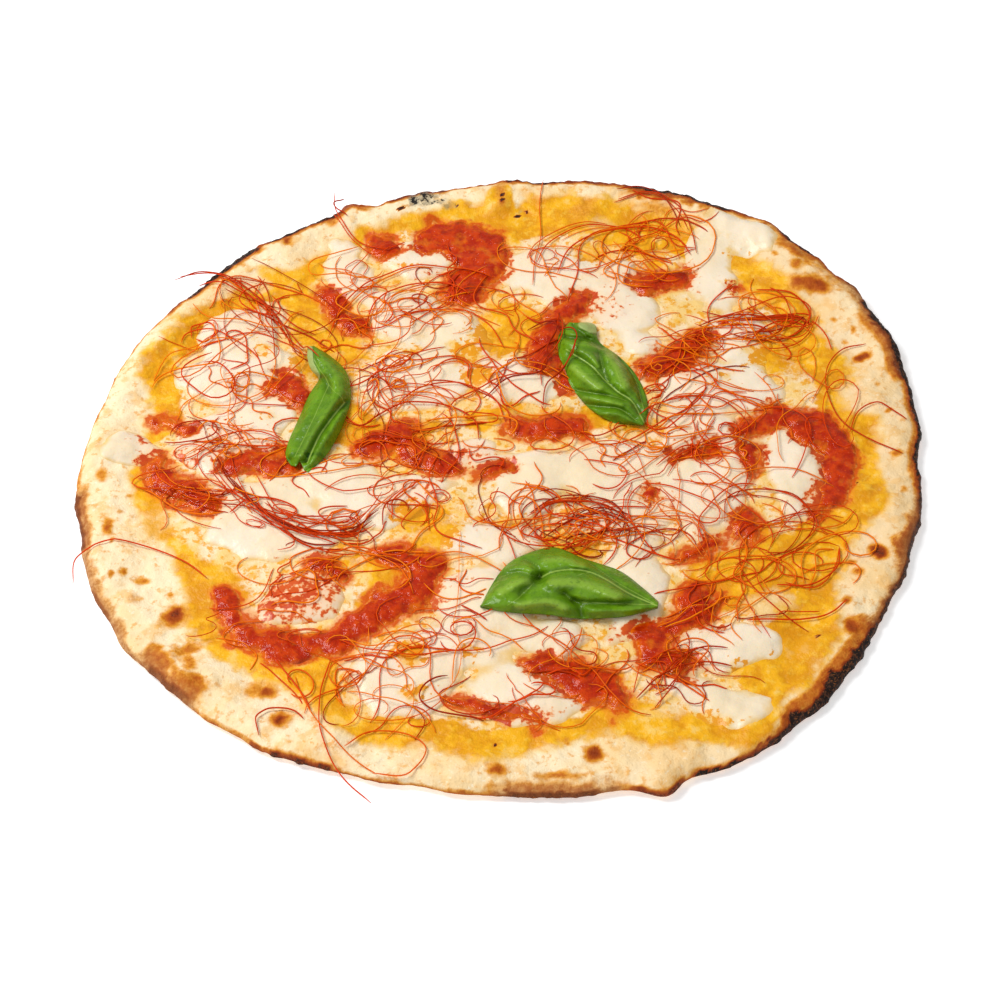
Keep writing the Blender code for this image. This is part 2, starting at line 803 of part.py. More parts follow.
def make_tangle(name, routes, material):
    """Crossing threads joined into one body by a Boolean union."""
    threads = bpy.data.collections.new(name + "_threads")
    bpy.context.scene.collection.children.link(threads)
    body = make_thread(name, routes[0], 0.2, material)
    for number, route in enumerate(routes[1:], 1):
        extra = make_thread(f"{name}_{number}", route, 0.2 + 0.5 * number, material)
        bpy.context.scene.collection.objects.unlink(extra)
        threads.objects.link(extra)
    if len(routes) > 1:
        union = body.modifiers.new("union", "BOOLEAN")
        union.operation = "UNION"
        union.operand_type = "COLLECTION"
        union.collection = threads
        union.solver = "EXACT"
        bpy.context.view_layer.update()
        evaluated = body.evaluated_get(bpy.context.evaluated_depsgraph_get())
        joined = bpy.data.meshes.new_from_object(evaluated)
        body.modifiers.clear()
        body.data = joined
    for extra in list(threads.objects):
        bpy.data.objects.remove(extra, do_unlink=True)
    bpy.data.collections.remove(threads)
    return body


def build():
    remove_everything()
    dough = make_material("baked_dough", (0.87, 0.68, 0.40), 0.7)
    mozzarella = make_material("melted_mozzarella", (0.88, 0.79, 0.62), 0.35)
    sauce = make_material("tomato_sauce", (0.58, 0.09, 0.01), 0.3)
    basil = make_material("basil_leaf", (0.07, 0.24, 0.02), 0.45)
    chilli = make_material("dried_chilli", (0.36, 0.03, 0.01), 0.5)
    make_crust(dough)
    make_films(mozzarella, sauce)
    for name, leaf in BASIL.items():
        make_leaf(name, leaf, basil)
    for number, routes in enumerate(thread_routes(), 1):
        if routes:
            make_tangle(f"chilli_threads_{number:02d}", routes, chilli)


build()
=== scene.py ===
# Looks of a thin margherita pizza: baked crust, melted mozzarella, tomato sauce, basil leaves
# and fine chilli threads. Plan places are in mm from the middle of the crust's outline.

import math

import bpy
import numpy as np
from mathutils import Matrix, Vector


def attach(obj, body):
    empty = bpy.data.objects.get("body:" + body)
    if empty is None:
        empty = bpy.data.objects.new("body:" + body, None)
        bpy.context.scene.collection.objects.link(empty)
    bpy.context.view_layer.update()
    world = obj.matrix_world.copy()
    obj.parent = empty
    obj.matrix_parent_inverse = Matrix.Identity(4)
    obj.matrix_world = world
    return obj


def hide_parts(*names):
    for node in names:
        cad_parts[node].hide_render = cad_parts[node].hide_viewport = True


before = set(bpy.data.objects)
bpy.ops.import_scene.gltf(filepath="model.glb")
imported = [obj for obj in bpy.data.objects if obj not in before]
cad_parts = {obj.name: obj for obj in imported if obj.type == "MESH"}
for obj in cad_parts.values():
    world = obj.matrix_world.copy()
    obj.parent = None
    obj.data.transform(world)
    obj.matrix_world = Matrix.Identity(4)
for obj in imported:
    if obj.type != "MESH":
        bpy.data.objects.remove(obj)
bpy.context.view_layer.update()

MM = 0.001

# Crust, the same sizes as the CAD solid
MEAN_RADIUS = 154.9
OUTLINE_WAVES = (
    (1, 2.5, 16), (2, 3, 48), (3, 2.4, 171), (4, 2, 134), (5, 0.9, 56), (6, 0.6, 13), (17, 0.5, 20),
    (29, 0.4, 75), (43, 0.3, 140),
)
EDGE_NIBS = (
    (0, -2.2, 5), (21, 1.5, 4), (31.5, 3, 3), (38, 0.8, 2.4), (48, 3.6, 3.4), (60, 1.2, 5),
    (73, 2.2, 7), (85, 1.5, 6), (98, 2, 8), (113, 4.5, 1.7), (119, 2, 5), (133, 2.4, 4.5),
    (146, 0.9, 6), (158, 2.5, 4.5), (183, 2, 3.5), (191, -1, 2.2), (203, 1.2, 6), (243, 1.5, 4),
    (267, 1.6, 4.5), (289, 4.3, 2.3), (307, 0.8, 4), (334, 1, 5), (347, 1.5, 5),
)
MID_THICKNESS = 3.6
EDGE_HEIGHT = 1.9
RIM_CROWN = 6.0
RIM_CROWN_INSET = 7.0
RIM_WIDTH = 22.0
LIFT_ANGLE = 48.0
LIFT_HEIGHT = 4.6
LIFT_SPREAD = 27.0
LIFT_REACH = 46.0
UNDERSIDE_CURL = 13.0
BLISTERS = (
    (139, 22, 11, 2.2), (132, -24, 10, 1.8), (-86, 106, 11, 2), (90, -77, 11, 1.8),
    (-101, -97, 10, 1.6), (-113, -104, 9, 2.6), (3, 139, 6, 2), (-128, 62, 12, 1.5),
    (-136, -38, 12, 1.6), (-62, -128, 13, 1.5), (34, 128, 15, 1.8), (118, 84, 12, 1.6),
    (112, -92, 12, 1.8), (52, -146, 8, 1.4), (-14, -144, 12, 1.2), (-30, 134, 9, 1.5),
)

# Melted mozzarella: ellipses that run together, (x, y, half length, half width, turn)
MOZZARELLA = (
    (-100, 40, 24, 15, 5), (-101, 62, 17, 17, 0), (-103, 4, 19, 16, 0), (-138, 2, 11, 7, 0),
    (-60, 97, 10, 18, 10), (-32, 106, 14, 12, 0), (-38, 73, 15, 14, 0), (-31, 39, 23, 19, 0),
    (-14, 58, 11, 14, 0), (18, 97, 20, 12, 0), (84, 90, 10, 22, 0), (99, 113, 17, 10, 125),
    (10, 36, 19, 15, 0), (50, 72, 13, 12, 0), (82, 29, 24, 13, 0), (94, 56, 10, 14, 0),
    (43, 90, 16, 12, 0), (26, 84, 12, 9, 0), (74, -12, 18, 33, 0), (109, -14, 11, 26, 0),
    (38, -12, 20, 14, 0), (9, -20, 14, 16, 0), (-35, -19, 17, 8, 0), (-62, -14, 15, 12, 0),
    (-84, -40, 25, 14, -10), (-72, -72, 15, 12, 20), (-3, -47, 17, 9, 0), (-8, -73, 19, 15, 0),
    (-18, -93, 15, 10, 0), (7, -116, 21, 12, -10), (-36, -107, 17, 18, 0), (78, -97, 19, 9, 0),
    (76, -123, 13, 8, -16), (62, -114, 9, 5, -20), (44, -70, 14, 20, 0), (44, -40, 17, 15, 0),
    (-10, -2, 11, 7, 0), (56, 54, 8, 6, 0), (15, -92, 15, 8, 0), (-48, -31, 17, 8, 0),
    (-88, -22, 15, 8, 0), (-88, 18, 11, 9, 0),
)
MOZZARELLA_MEET = 6.0
MOZZARELLA_DEPTH = 2.2

# Tomato sauce: smears, each a run of (x, y, half width)
SAUCE = (
    ((-22, 116, 10), (-8, 112, 12), (-6, 98, 10), (-13, 86, 8)),
    ((-46, 112, 6.4),),
    ((-68, 86, 3), (-63, 74, 6), (-57, 66, 6)),
    ((60, 88, 7), (72, 89, 6)),
    ((78, 56, 5), (70, 46, 7), (58, 40, 4)),
    ((34, 78, 4), (24, 68, 4), (19, 58, 5), (18, 46, 5), (24, 34, 4)),
    ((8, 9, 5.5), (28, 10, 6)),
    ((3, -8, 2.2), (-7, -15, 3)),
    ((-50, -2, 4.5), (-36, 8, 6), (-32, -2, 5), (-20, -9, 5)),
    ((-129, -5, 4.5), (-124, -16, 6), (-110, -24, 5.5)),
    ((-128, 17, 2.6), (-116, 13, 3.4)),
    ((-98, -7, 6), (-80, -6, 6)),
    ((-83, 34, 6.5), (-75, 28, 6)),
    ((-97, -70, 4.4), (-93, -84, 5.6), (-78, -93, 5.4), (-60, -90, 5)),
    ((-60, -90, 5.5), (-45, -79, 6.2), (-31, -69, 7), (-27, -58, 6.5), (-40, -50, 4)),
    ((-66, -56, 3.4), (-56, -62, 2.6)),
    ((12, -103, 4), (23, -107, 7), (31, -114, 8), (37, -119, 5.5)),
    ((70, -71, 5), (66, -80, 5.5), (58, -87, 5)),
    ((50, -90, 6), (52, -99, 6.5), (62, -104, 4)),
    ((91, 5, 5), (104, 13, 5), (117, 7, 6.5), (125, -9, 7.5), (121, -26, 6.5), (114, -34, 3)),
    ((92, -3, 3.6), (93, -14, 2.4)),
    ((88, -37, 3.4), (86, -45, 4.4)),
    ((78, -49, 2), (64, -56, 2.6)),
    ((66, -6, 3), (79, -4, 3.4)),
    ((54, -25, 3.4),),
    ((-20, -117, 1.4), (-6, -123, 2), (12, -127, 2)),
    ((94, 82, 1.6),),
)
SAUCE_DEPTH = 1.5
FILM_MARGIN = 5.0
TOPPING_OFFSET = (0.0, 5.0)

# Outer border of the amber oil that has soaked into the dough: (angle, inset from the edge)
OIL_BORDER = (
    (0, 16), (7, 16), (9, 23), (17, 21), (24, 25), (31, 19), (38, 17), (46, 17), (51, 22), (57, 14),
    (62, 12), (70, 13), (72, 9.5), (84, 9.5), (86.5, 16), (88, 3), (90.5, 3), (92, 11), (97, 9),
    (101, 13), (108, 11), (116, 17), (122, 15), (128, 20), (132, 11), (135, 17), (141, 13), (147, 7),
    (153, 9), (157, 6), (161, 10), (165, 16), (170, 22), (180, 20), (190, 23), (200, 31), (209, 28),
    (217, 20), (226, 22), (234, 25), (241, 22), (248, 13), (256, 15), (268, 14), (276, 20), (284, 24),
    (289, 22), (292, 15), (297, 11), (300, 4), (305, 4), (308, 8), (322, 9), (328, 17), (338, 23),
    (345, 17), (349, 13), (355, 15),
)

# Width of bare oily dough between that border and the melted cheese: (angle, width)
OIL_BAND = (
    (0, 14), (45, 8), (60, 12), (90, 10), (112, 4), (126, 8), (140, 10), (160, 13), (168, 10), (176, 4),
    (190, 3), (210, 5), (240, 4), (250, 7), (284, 7), (298, 8), (312, 20), (335, 22), (350, 15),
)

# Dough that stays pale inside the oil: (x, y, half length, half width, turn, strength)
PALE = (
    (138, 22, 11, 8, 0, 0.9), (-95, 92, 7, 5, -40, 0.7), (93, -77, 10, 6, 10, 0.6),
    (-72, 113, 8, 6, 0, 0.6), (52, -123, 8, 3, 0, 0.6), (-120, -30, 8, 7, 0, 0.6),
    (42, 122, 7, 5, 0, 0.5),
)

# Amber oil on the cheese: (x, y, half length, half width, turn, strength)
OIL = (
    (104, 46, 9, 12, 0, 1), (94, -75, 13, 10, 0, 1), (-12, 49, 9, 9, 0, 0.9), (-34, 50, 9, 6, 0, 0.7),
    (-57, 51, 9, 7, 0, 0.8), (-33, -97, 8, 7, 0, 0.95), (-12, -97, 6, 5, 0, 0.7),
    (37, 105, 9, 6, 0, 0.8), (-92, 52, 8, 5, 20, 0.7), (62, -129, 16, 6, -8, 1),
    (84, -108, 12, 5, -20, 0.8), (92, -54, 9, 6, -20, 1), (74, -60, 8, 6, 0, 0.9),
    (100, 84, 14, 9, 0, 0.7), (-63, 53, 17, 13, 20, 0.75), (-74, 46, 9, 8, 0, 0.9),
    (-38, 100, 12, 4, -15, 0.6), (-48, 112, 4, 3, 0, 0.6), (3, 60, 15, 14, 10, 1.1),
    (-8, 36, 8, 10, 0, 0.9), (4, 20, 7, 5, 20, 0.8), (-50, 12, 8, 7, 0, 0.5), (-31, -33, 12, 8, 0, 1),
    (-22, -43, 9, 7, 30, 1), (27, -49, 15, 8, 0, 1), (4, -36, 8, 4, 20, 0.7), (-33, -99, 10, 8, 0, 0.6),
    (-31, -114, 6, 4, 10, 0.9), (-44, -112, 7, 7, 0, 0.3), (-62, -118, 5, 10, 20, 0.5),
    (97, 100, 12, 10, 0, 0.45), (60, 100, 12, 9, 0, 0.5), (38, 96, 10, 7, 0, 0.45),
    (84, 33, 12, 8, 0, 0.5), (97, 40, 10, 5, 20, 0.5), (74, -72, 8, 6, 30, 0.6),
    (88, -64, 10, 6, 0, 0.8), (-88, 20, 7, 8, 0, 0.5), (-104, 18, 9, 6, 0, 0.4),
    (-118, 55, 5, 4, 0, 0.6), (-93, 60, 6, 5, 0, 0.5), (-52, 40, 9, 7, 0, 0.55),
    (94, -101, 8, 5, 0, 0.4),
)

# Cheese with sauce showing through it in specks: (x, y, half length, half width, turn, strength)
STAINS = (
    (-76, -70, 24, 14, 10, 0.78), (-58, -58, 17, 10, 20, 0.82), (-92, -78, 12, 7, -40, 0.7),
    (26, -42, 24, 8, 0, 0.5), (92, -52, 12, 6, -20, 0.6), (66, -62, 9, 8, 0, 0.5),
    (-28, -20, 16, 9, 0, 0.4), (-104, 4, 20, 16, 0, 0.4), (-86, -6, 13, 10, 0, 0.55),
    (-118, -2, 13, 7, -30, 0.5), (38, 72, 15, 11, 0, 0.46), (48, 88, 12, 7, 0, 0.36),
    (-62, 62, 15, 14, 0, 0.48), (-26, 96, 12, 6, 0, 0.42), (-20, 10, 18, 13, 0, 0.62),
    (-46, 10, 16, 12, 0, 0.6), (-12, -4, 12, 9, 0, 0.55), (-64, 70, 14, 12, 0, 0.5),
    (-130, 8, 10, 8, 0, 0.5), (-32, -70, 14, 10, 0, 0.46), (-18, -62, 8, 5, 0, 0.4),
    (36, -92, 12, 6, 0, 0.46), (58, -30, 9, 6, 0, 0.46), (84, -46, 12, 7, 0, 0.44),
    (22, -104, 7, 8, 0, 0.44), (22, 2, 16, 6, 10, 0.42), (72, -88, 10, 5, 0, 0.4),
    (8, -124, 14, 4, 0, 0.5), (30, 36, 8, 12, 0, 0.45), (96, 84, 4, 8, 0, 0.5), (76, 2, 12, 5, 0, 0.38),
)

# Toasting along the edge: (from angle, to angle, width in mm, how dark from 0 tan to 1 black)
TOAST = (
    (-4, 4, 3, 1), (5, 15, 3.2, 1), (4, 15, 5.6, 0.58), (15, 25, 9.5, 0.46), (14, 23, 6.6, 0.72),
    (14, 28, 4, 0.96), (24, 31, 8, 0.38), (30, 41, 7.5, 0.32), (28, 40, 1.6, 0.66), (38, 44, 9, 0.5),
    (39, 46, 2.4, 0.9), (44, 47, 6, 0.4), (46, 54, 1.2, 0.7), (54, 70, 3.4, 1), (55, 60, 7.5, 0.5),
    (60, 69, 10.5, 0.55), (69, 81, 1.6, 0.72), (80, 88, 1.8, 0.85), (88, 98, 1.3, 0.56),
    (98, 106, 1.5, 0.8), (105, 111, 1.8, 0.52), (111, 115, 3.4, 0.66), (115, 121, 2.2, 0.92),
    (115, 122, 5, 0.45), (121, 127, 2.4, 1), (126, 131, 1.4, 0.62), (130, 138, 3.4, 1),
    (137, 143, 2.6, 1), (143, 147, 1.6, 0.7), (147, 156, 1.2, 0.5), (156, 166, 1.1, 0.4),
    (166, 181, 1.4, 0.52), (180, 188, 2.4, 0.42), (186, 194, 3.6, 0.72), (184, 200, 6, 0.42),
    (199, 211, 5, 0.44), (203, 207, 2.2, 0.64), (210, 218, 3, 0.42), (217.5, 223.5, 5.5, 0.66),
    (216.5, 225, 13.5, 0.5), (224, 236, 2.2, 0.38), (236, 240, 1.8, 0.62), (239, 247, 2.2, 0.85),
    (246, 256, 1.4, 0.64), (255, 263, 1.2, 0.54), (262, 271, 1.8, 0.56), (270, 281, 4, 0.76),
    (268, 284, 6, 0.36), (280, 287, 2.4, 0.5), (287, 291, 2.4, 0.85), (290, 295, 1.4, 0.6),
    (294, 301, 2.4, 1), (299, 307, 2, 0.95), (305, 310, 4, 0.9), (309, 326, 6.6, 1),
    (307, 327, 8.4, 0.6), (326, 341, 5, 0.56), (326, 356, 2.4, 0.88), (340, 347, 8.6, 0.56),
    (338, 346, 6.6, 0.4), (346, 357, 4, 0.62), (355, 361, 3.4, 1),
)

# Where the toasted edge is floury and tan, not orange: (from angle, to angle)
FLOURY = ((14, 33), (184, 227), (268, 284), (327, 352))

# Brown baked spots: (angle, inset, half length along the edge, half depth, how dark)
SPOTS = (
    (18.8, 16, 2.2, 3.4, 0.72), (24.3, 12.5, 1.6, 1.3, 0.48), (22.8, 18, 1.5, 1.2, 0.45),
    (27.5, 16.6, 1.4, 1.2, 0.45), (34.2, 10.2, 5.4, 4, 0.6), (35.4, 12.4, 4.8, 3.8, 0.6),
    (36.8, 15.2, 4.2, 3.6, 0.58), (34.4, 10, 2.6, 2, 0.7), (39.4, 9.5, 2.2, 3.2, 0.52),
    (43, 11, 1.5, 1.4, 0.45), (48.4, 2.5, 1.8, 2.6, 0.55), (7.5, 11, 1, 2.2, 0.42),
    (13, 13, 1.2, 1.4, 0.36), (89.2, 5, 2.8, 6.5, 0.42), (88.9, 12, 1.8, 3.4, 0.52),
    (75.2, 16, 4.6, 6, 0.34), (64, 12, 8, 3.4, 0.36), (117, 3.4, 3, 3.4, 0.45),
    (124.8, 3.2, 2.2, 3.8, 0.6), (133.5, 4, 2.2, 3, 0.42), (182, 9.4, 3.4, 2.2, 0.46),
    (191.8, 10.6, 5, 2, 0.5), (194.8, 12, 1.7, 1.3, 0.45), (189.6, 16, 1.2, 1, 0.36),
    (186.3, 20.6, 1.2, 1, 0.42), (200.8, 8.6, 1.6, 1.2, 0.46), (201, 12.8, 2, 1.8, 0.48),
    (203.6, 18, 2, 2.4, 0.48), (206.4, 12, 2.6, 2.6, 0.3), (212, 21.2, 4.4, 5.2, 0.64),
    (211.6, 22.2, 2.4, 2.8, 0.8), (208, 23.4, 1.6, 1.4, 0.48), (218.6, 15, 2.6, 5.5, 0.46),
    (220.6, 12.4, 4, 2.4, 0.46), (231, 18.4, 3.8, 4.6, 0.42), (232.6, 20, 3.2, 3.4, 0.62),
    (237.2, 13.2, 3.4, 3.6, 0.58), (237.2, 13.2, 1.6, 1.8, 0.78), (268.4, 9.6, 4, 2.6, 0.56),
    (276.6, 7.2, 8, 1.8, 0.48), (282, 15, 3, 3.8, 0.74), (299.4, 7, 1.2, 1, 0.3),
    (302.8, 2.6, 1.8, 1.5, 0.66), (325.2, 8, 4.2, 3.4, 0.66), (329.1, 14, 2.4, 2, 0.58),
    (335, 15.4, 2.2, 2.2, 0.56), (336.4, 19.2, 2, 1.8, 0.52), (339.5, 11.4, 3, 3.6, 0.82),
    (352, 7.2, 1.8, 1.5, 0.44), (359, 8.4, 1.8, 2.6, 0.5), (149, 29.4, 2.8, 2.2, 0.52),
    (278.8, 22.4, 1.2, 2, 0.42),
)

# Small black specks, all equally dark: (angle, inset, radius)
SPECK_DARK = 1.3
SPECKS = (
    (268.6, 19.7, 0.6), (321.8, 17.3, 0.6), (332.2, 22.8, 0.5), (352.2, 23.4, 0.5), (280.5, 22.6, 0.4),
    (86.2, 21, 0.7), (85.4, 18.4, 0.6), (88.8, 8.6, 0.6), (88.6, 11.4, 0.6), (105.2, 7.2, 0.6),
    (97, 11, 0.6),
)

# Ash on the dough: (angle, inset, half length along the edge, half depth, strength)
ASH = (
    (101.2, 3.4, 6, 4.5, 0.9), (103, 4.6, 2.6, 3.6, 1.2), (100, 7.6, 8, 1.8, 0.8),
    (97.6, 10.4, 4.6, 2.6, 0.6), (86, 19, 3.4, 5, 0.35), (90, 8.6, 3, 2.6, 0.35), (207, 8, 6, 3, 0.28),
)

# Basil leaves: both edges from tip to tip, folds (points, width, depth or height) and veins
BASIL = {
    "basil_leaf_1": {
        "edges": (
            ((-73.6, 52.4), (-73.4, 47), (-71.8, 40.4), (-69, 35.2), (-72.2, 27),
             (-75.8, 14.4), (-78.3, 5.5), (-79.8, -3.4), (-77.6, -8.8)),
            ((-71.2, 53.4), (-65.2, 48.2), (-59.4, 41), (-56.8, 33), (-56.4, 23),
             (-58.2, 13.4), (-61.4, 3.1), (-65.4, -5.5), (-71.2, -12.6)),
        ),
        "crown": 4.4,
        "rise": (2.8, 1.8, 1),
        "notch": (0.1, 0.34, 3.4),
        "folds": (
            ((-58.3, 23.1), (-64.5, 11.5), (-67.9, 3.9), (-71.8, -7), 1.5, -1.8),
            ((-68.6, 35.8), (-66.6, 35.4), (-65.2, 33), (-64.4, 28), 1.7, -1.5),
            ((-64.6, 31), (-67.4, 22), (-70.4, 12), (-74.6, -1), 1.8, -0.5),
            ((-61.5, 24), (-66.4, 14), (-70, 5), (-73.4, -4), 2.4, 1),
            ((-59.6, 17), (-62.6, 8), (-66.6, 0), (-70, -8), 2, 0.9),
            ((-70.4, 21), (-73.6, 11), (-76.6, 2), (-77.6, -4), 2, 0.5),
            ((-67.5, 46), (-62.5, 39), (-60.5, 32), (-60, 27), 2.8, 1),
        ),
        "veins": (
            ((-58.6, 22.6), (-64.5, 11.5), (-67.9, 3.9), (-71.4, -8)),
            ((-64.6, 32), (-67.4, 22), (-70.4, 12), (-76, -5)),
            ((-70.8, 46), (-68.2, 40), (-66, 36), (-64.6, 32)),
            ((-64.6, 32), (-62, 28), (-60, 26), (-58.6, 22.6)),
        ),
        "pale": ((-73, 51.6), (-72.4, 44), (-69.8, 37), 1.6),
    },
    "basil_leaf_2": {
        "edges": (
            ((27.4, 63.4), (23.7, 57), (23, 48), (25.2, 37.5), (27.8, 27.5),
             (33.5, 17.2), (41.5, 9.9), (52.2, 7.4)),
            ((28.8, 63.6), (37.4, 62.4), (38.8, 53), (46, 44.6), (51, 36.6),
             (54.4, 27.8), (55.8, 17.2), (54, 7.9)),
        ),
        "crown": 5,
        "rise": (1.2, 0.6, 1),
        "notch": None,
        "folds": (
            ((23.8, 56.9), (28.5, 54.6), (35.3, 53.8), (39.9, 49.6), 1.4, -1.7),
            ((29.2, 62), (30.4, 59.6), (32.6, 57.2), (34.8, 54.6), 1.1, -1.2),
            ((28.2, 45.8), (34.7, 39.7), (40, 31.5), (44.4, 25.3), (49.8, 19.9), (52.7, 13.8),
             1.5, -1.6),
            ((38.7, 45.5), (39.2, 41), (39.6, 37), (41.2, 31), 1.4, -1.4),
            ((29, 26.8), (35, 24.8), (42.4, 22.7), (47, 20.7), 1.2, -1.2),
            ((32, 18.9), (38.4, 17.6), (44.9, 16.1), (50.3, 10.7), 1.2, -1.2),
            ((46.6, 43.4), (49.4, 38.4), (52, 30.3), (53.6, 20), 1.2, -1.3),
            ((32, 47), (34.4, 45.4), (36, 42.4), (37.2, 38.5), 2, 1),
            ((42.4, 44), (44.6, 38.6), (46, 33.6), (47.6, 28), 3, 1.7),
            ((28.5, 38.6), (31.4, 34), (34.4, 30.6), (37.4, 27.6), 2.8, 1.5),
            ((32, 22.6), (36, 21.6), (40.4, 20.2), (45, 18.2), 2, 1.1),
            ((38, 14), (42, 13.6), (45.6, 12.6), (49, 10), 1.7, 0.9),
            ((26.4, 51.6), (30, 50.8), (33.6, 50.2), (37, 48.6), 1.9, 0.9),
        ),
        "veins": (
            ((26, 48.4), (34.7, 39.7), (40, 31.5), (44.4, 25.3), (49.8, 19.9), (53.8, 8.6)),
            ((38.4, 48), (38.8, 43), (39.6, 37), (41.4, 30.6)),
            ((28.2, 27), (35, 24.8), (42.4, 22.7), (47.6, 20.4)),
            ((31, 19.1), (38.4, 17.6), (44.9, 16.1), (51, 9.8)),
            ((46.4, 44), (49.4, 38.4), (52.2, 30), (54, 15)),
            ((29, 36.8), (32, 35), (35, 34.6), (38, 34.6)),
            ((44, 37.6), (45, 33), (45.6, 29.4), (45.2, 25.4)),
        ),
        "pale": ((33.6, 61.6), (36.6, 59.6), 2.4),
    },
    "basil_leaf_3": {
        "edges": (
            ((-8.4, -78.2), (-3.2, -80), (4, -81.4), (15, -82.5), (22, -84),
             (30, -84.7), (40, -84.3), (47, -82.8), (53.2, -80.8)),
            ((-8.2, -77.6), (-4.2, -68.2), (0.6, -60), (6.9, -55), (18.2, -51.6),
             (28.8, -57.2), (41, -63.2), (48.6, -71), (53.8, -77.4)),
        ),
        "crown": 5.6,
        "rise": (0.8, 0.6, 0.8),
        "notch": None,
        "folds": (
            ((13.4, -64.2), (12.9, -64.8), (12.4, -65.4), (11.8, -66.2), 2.4, -2.4),
            ((12, -66), (9.6, -68.2), (7.4, -70.4), (6, -72.8), 2.2, -1.4),
            ((-3, -65.8), (4, -62.8), (9.3, -64), (12.4, -65.2), 1.3, -0.9),
            ((12.7, -64), (12.4, -61.6), (11.2, -59.2), (7.7, -57), 1.3, -0.9),
            ((13.1, -65.5), (17.2, -62.8), (23.4, -61.9), (29.5, -62.9), (35.5, -66.5),
             (43.9, -73.6), (50.6, -78), 1.4, -1.2),
            ((21, -72.8), (24, -76), (30, -77.4), (38, -77.4), (46, -77.6), 1.7, -1.6),
            ((24.6, -76.6), (26, -78.6), (26.6, -80.6), (27, -83), 1.6, -1.4),
            ((30.5, -59.5), (35.6, -64.3), (40.6, -69), (49.1, -75.2), 1.2, -0.9),
            ((-1, -71.5), (2, -69), (5, -67.4), (8, -67), 2.8, 1.5),
            ((2.5, -60.8), (5, -60.2), (7.4, -60.4), (9.6, -61.6), 1.8, 0.9),
            ((17.5, -67.6), (24, -67.6), (31, -69.8), (39, -74.2), 3.4, 2),
            ((15, -57.4), (19, -57), (23, -57.8), (28, -60.2), 2.6, 1.3),
            ((5, -77.6), (11, -76.6), (16, -76.4), (20.6, -79), 3, 1.5),
            ((31, -81), (37, -81), (42, -80.8), (47, -80), 1.8, 0.9),
            ((25, -60.4), (29, -61.2), (34, -64.6), (38.4, -68.6), 1.3, 0.8),
        ),
        "veins": (
            ((13.1, -65.5), (17.2, -62.8), (23.4, -61.9), (29.5, -62.9), (35.5, -66.5),
             (43.9, -73.6), (53, -79.2)),
            ((-3.6, -66.2), (4, -62.8), (9.3, -64), (12.6, -65.2)),
            ((7.2, -56.8), (11.2, -59), (12.4, -61.6), (12.8, -64.6)),
            ((21.6, -73.4), (24.4, -76.4), (33, -77.4), (52.6, -78.8)),
            ((30, -59), (35.6, -64.3), (40.6, -69), (52, -78)),
            ((1, -77.6), (4.6, -74.6), (6.4, -72.6), (10.6, -67.6)),
            ((22.6, -66), (25.4, -64.6), (28, -63.8), (30.6, -63.4)),
        ),
        "pale": None,
    },
}
LEAF_THICKNESS = 0.45
LEAF_COLUMNS = 150
LEAF_ROWS = 60

# A raised point shows this much further off than it lies, for each mm above the dough's level
SIGHT_SLOPE = 0.9
SIGHT_LEVEL = 6.0

# Chilli threads: clusters, (x, y, half length, half width, turn, number, mean length, how dark)
CLUSTERS = (
    (-95, 78, 24, 9, -42, 30, 40, 0.65), (-112, 60, 13, 12, 0, 14, 26, 0.45),
    (-100, 32, 22, 20, 0, 40, 26, 0.35), (-105, 4, 22, 13, 0, 32, 26, 0.5),
    (-116, -20, 16, 7, -20, 18, 30, 0.65), (-78, -33, 30, 7, -20, 26, 42, 0.8),
    (-60, -10, 22, 12, 0, 26, 28, 0.45), (-70, -60, 24, 14, 0, 30, 26, 0.5),
    (-45, -48, 15, 11, 0, 18, 28, 0.5), (-78, -86, 20, 8, 0, 12, 22, 0.6),
    (-30, -27, 18, 13, 0, 28, 26, 0.45), (-24, 5, 22, 15, 0, 48, 28, 0.55),
    (-38, 36, 25, 15, 0, 46, 28, 0.45), (-36, 72, 24, 14, 0, 50, 32, 0.45),
    (-55, 95, 13, 12, 0, 16, 24, 0.4), (-20, 95, 15, 10, 0, 10, 26, 0.5),
    (5, 72, 15, 13, 0, 18, 28, 0.45), (10, 36, 14, 15, 0, 26, 26, 0.45),
    (26, 98, 17, 12, 0, 18, 28, 0.45), (58, 102, 17, 13, 0, 46, 32, 0.7),
    (70, 126, 8, 9, -60, 8, 26, 0.6), (100, 60, 20, 11, -10, 40, 36, 0.6),
    (74, 48, 16, 13, 0, 34, 28, 0.5), (58, 22, 15, 15, 0, 34, 26, 0.45),
    (84, 24, 18, 12, 0, 30, 28, 0.5), (42, -4, 20, 14, 0, 36, 28, 0.45),
    (75, -10, 20, 16, 0, 30, 30, 0.5), (95, -38, 15, 11, 0, 15, 30, 0.5),
    (110, 3, 13, 13, 0, 10, 28, 0.6), (126, 22, 7, 18, 0, 6, 34, 0.6), (26, -41, 18, 9, 0, 58, 34, 0.7),
    (0, -30, 15, 10, 0, 22, 26, 0.45), (58, -46, 16, 13, 0, 40, 28, 0.5),
    (90, -62, 20, 11, 10, 34, 32, 0.6), (76, -84, 15, 9, 0, 24, 26, 0.55),
    (60, -106, 17, 11, 0, 34, 24, 0.6), (26, -100, 15, 11, 0, 24, 24, 0.5),
    (10, -120, 14, 8, 0, 14, 22, 0.5), (-15, -90, 15, 13, 0, 24, 24, 0.4),
    (-40, -100, 17, 15, 0, 32, 26, 0.45), (-30, -122, 18, 9, 0, 14, 26, 0.45),
    (-60, -115, 11, 13, 0, 9, 26, 0.5), (-8, -63, 12, 9, 0, 14, 24, 0.45),
    (114, -58, 11, 9, 0, 8, 24, 0.55), (-35, -138, 14, 8, 0, 2, 34, 0.35),
    (-52, 24, 9, 14, 0, 26, 24, 0.7), (-58, 55, 12, 10, 0, 12, 26, 0.4),
)

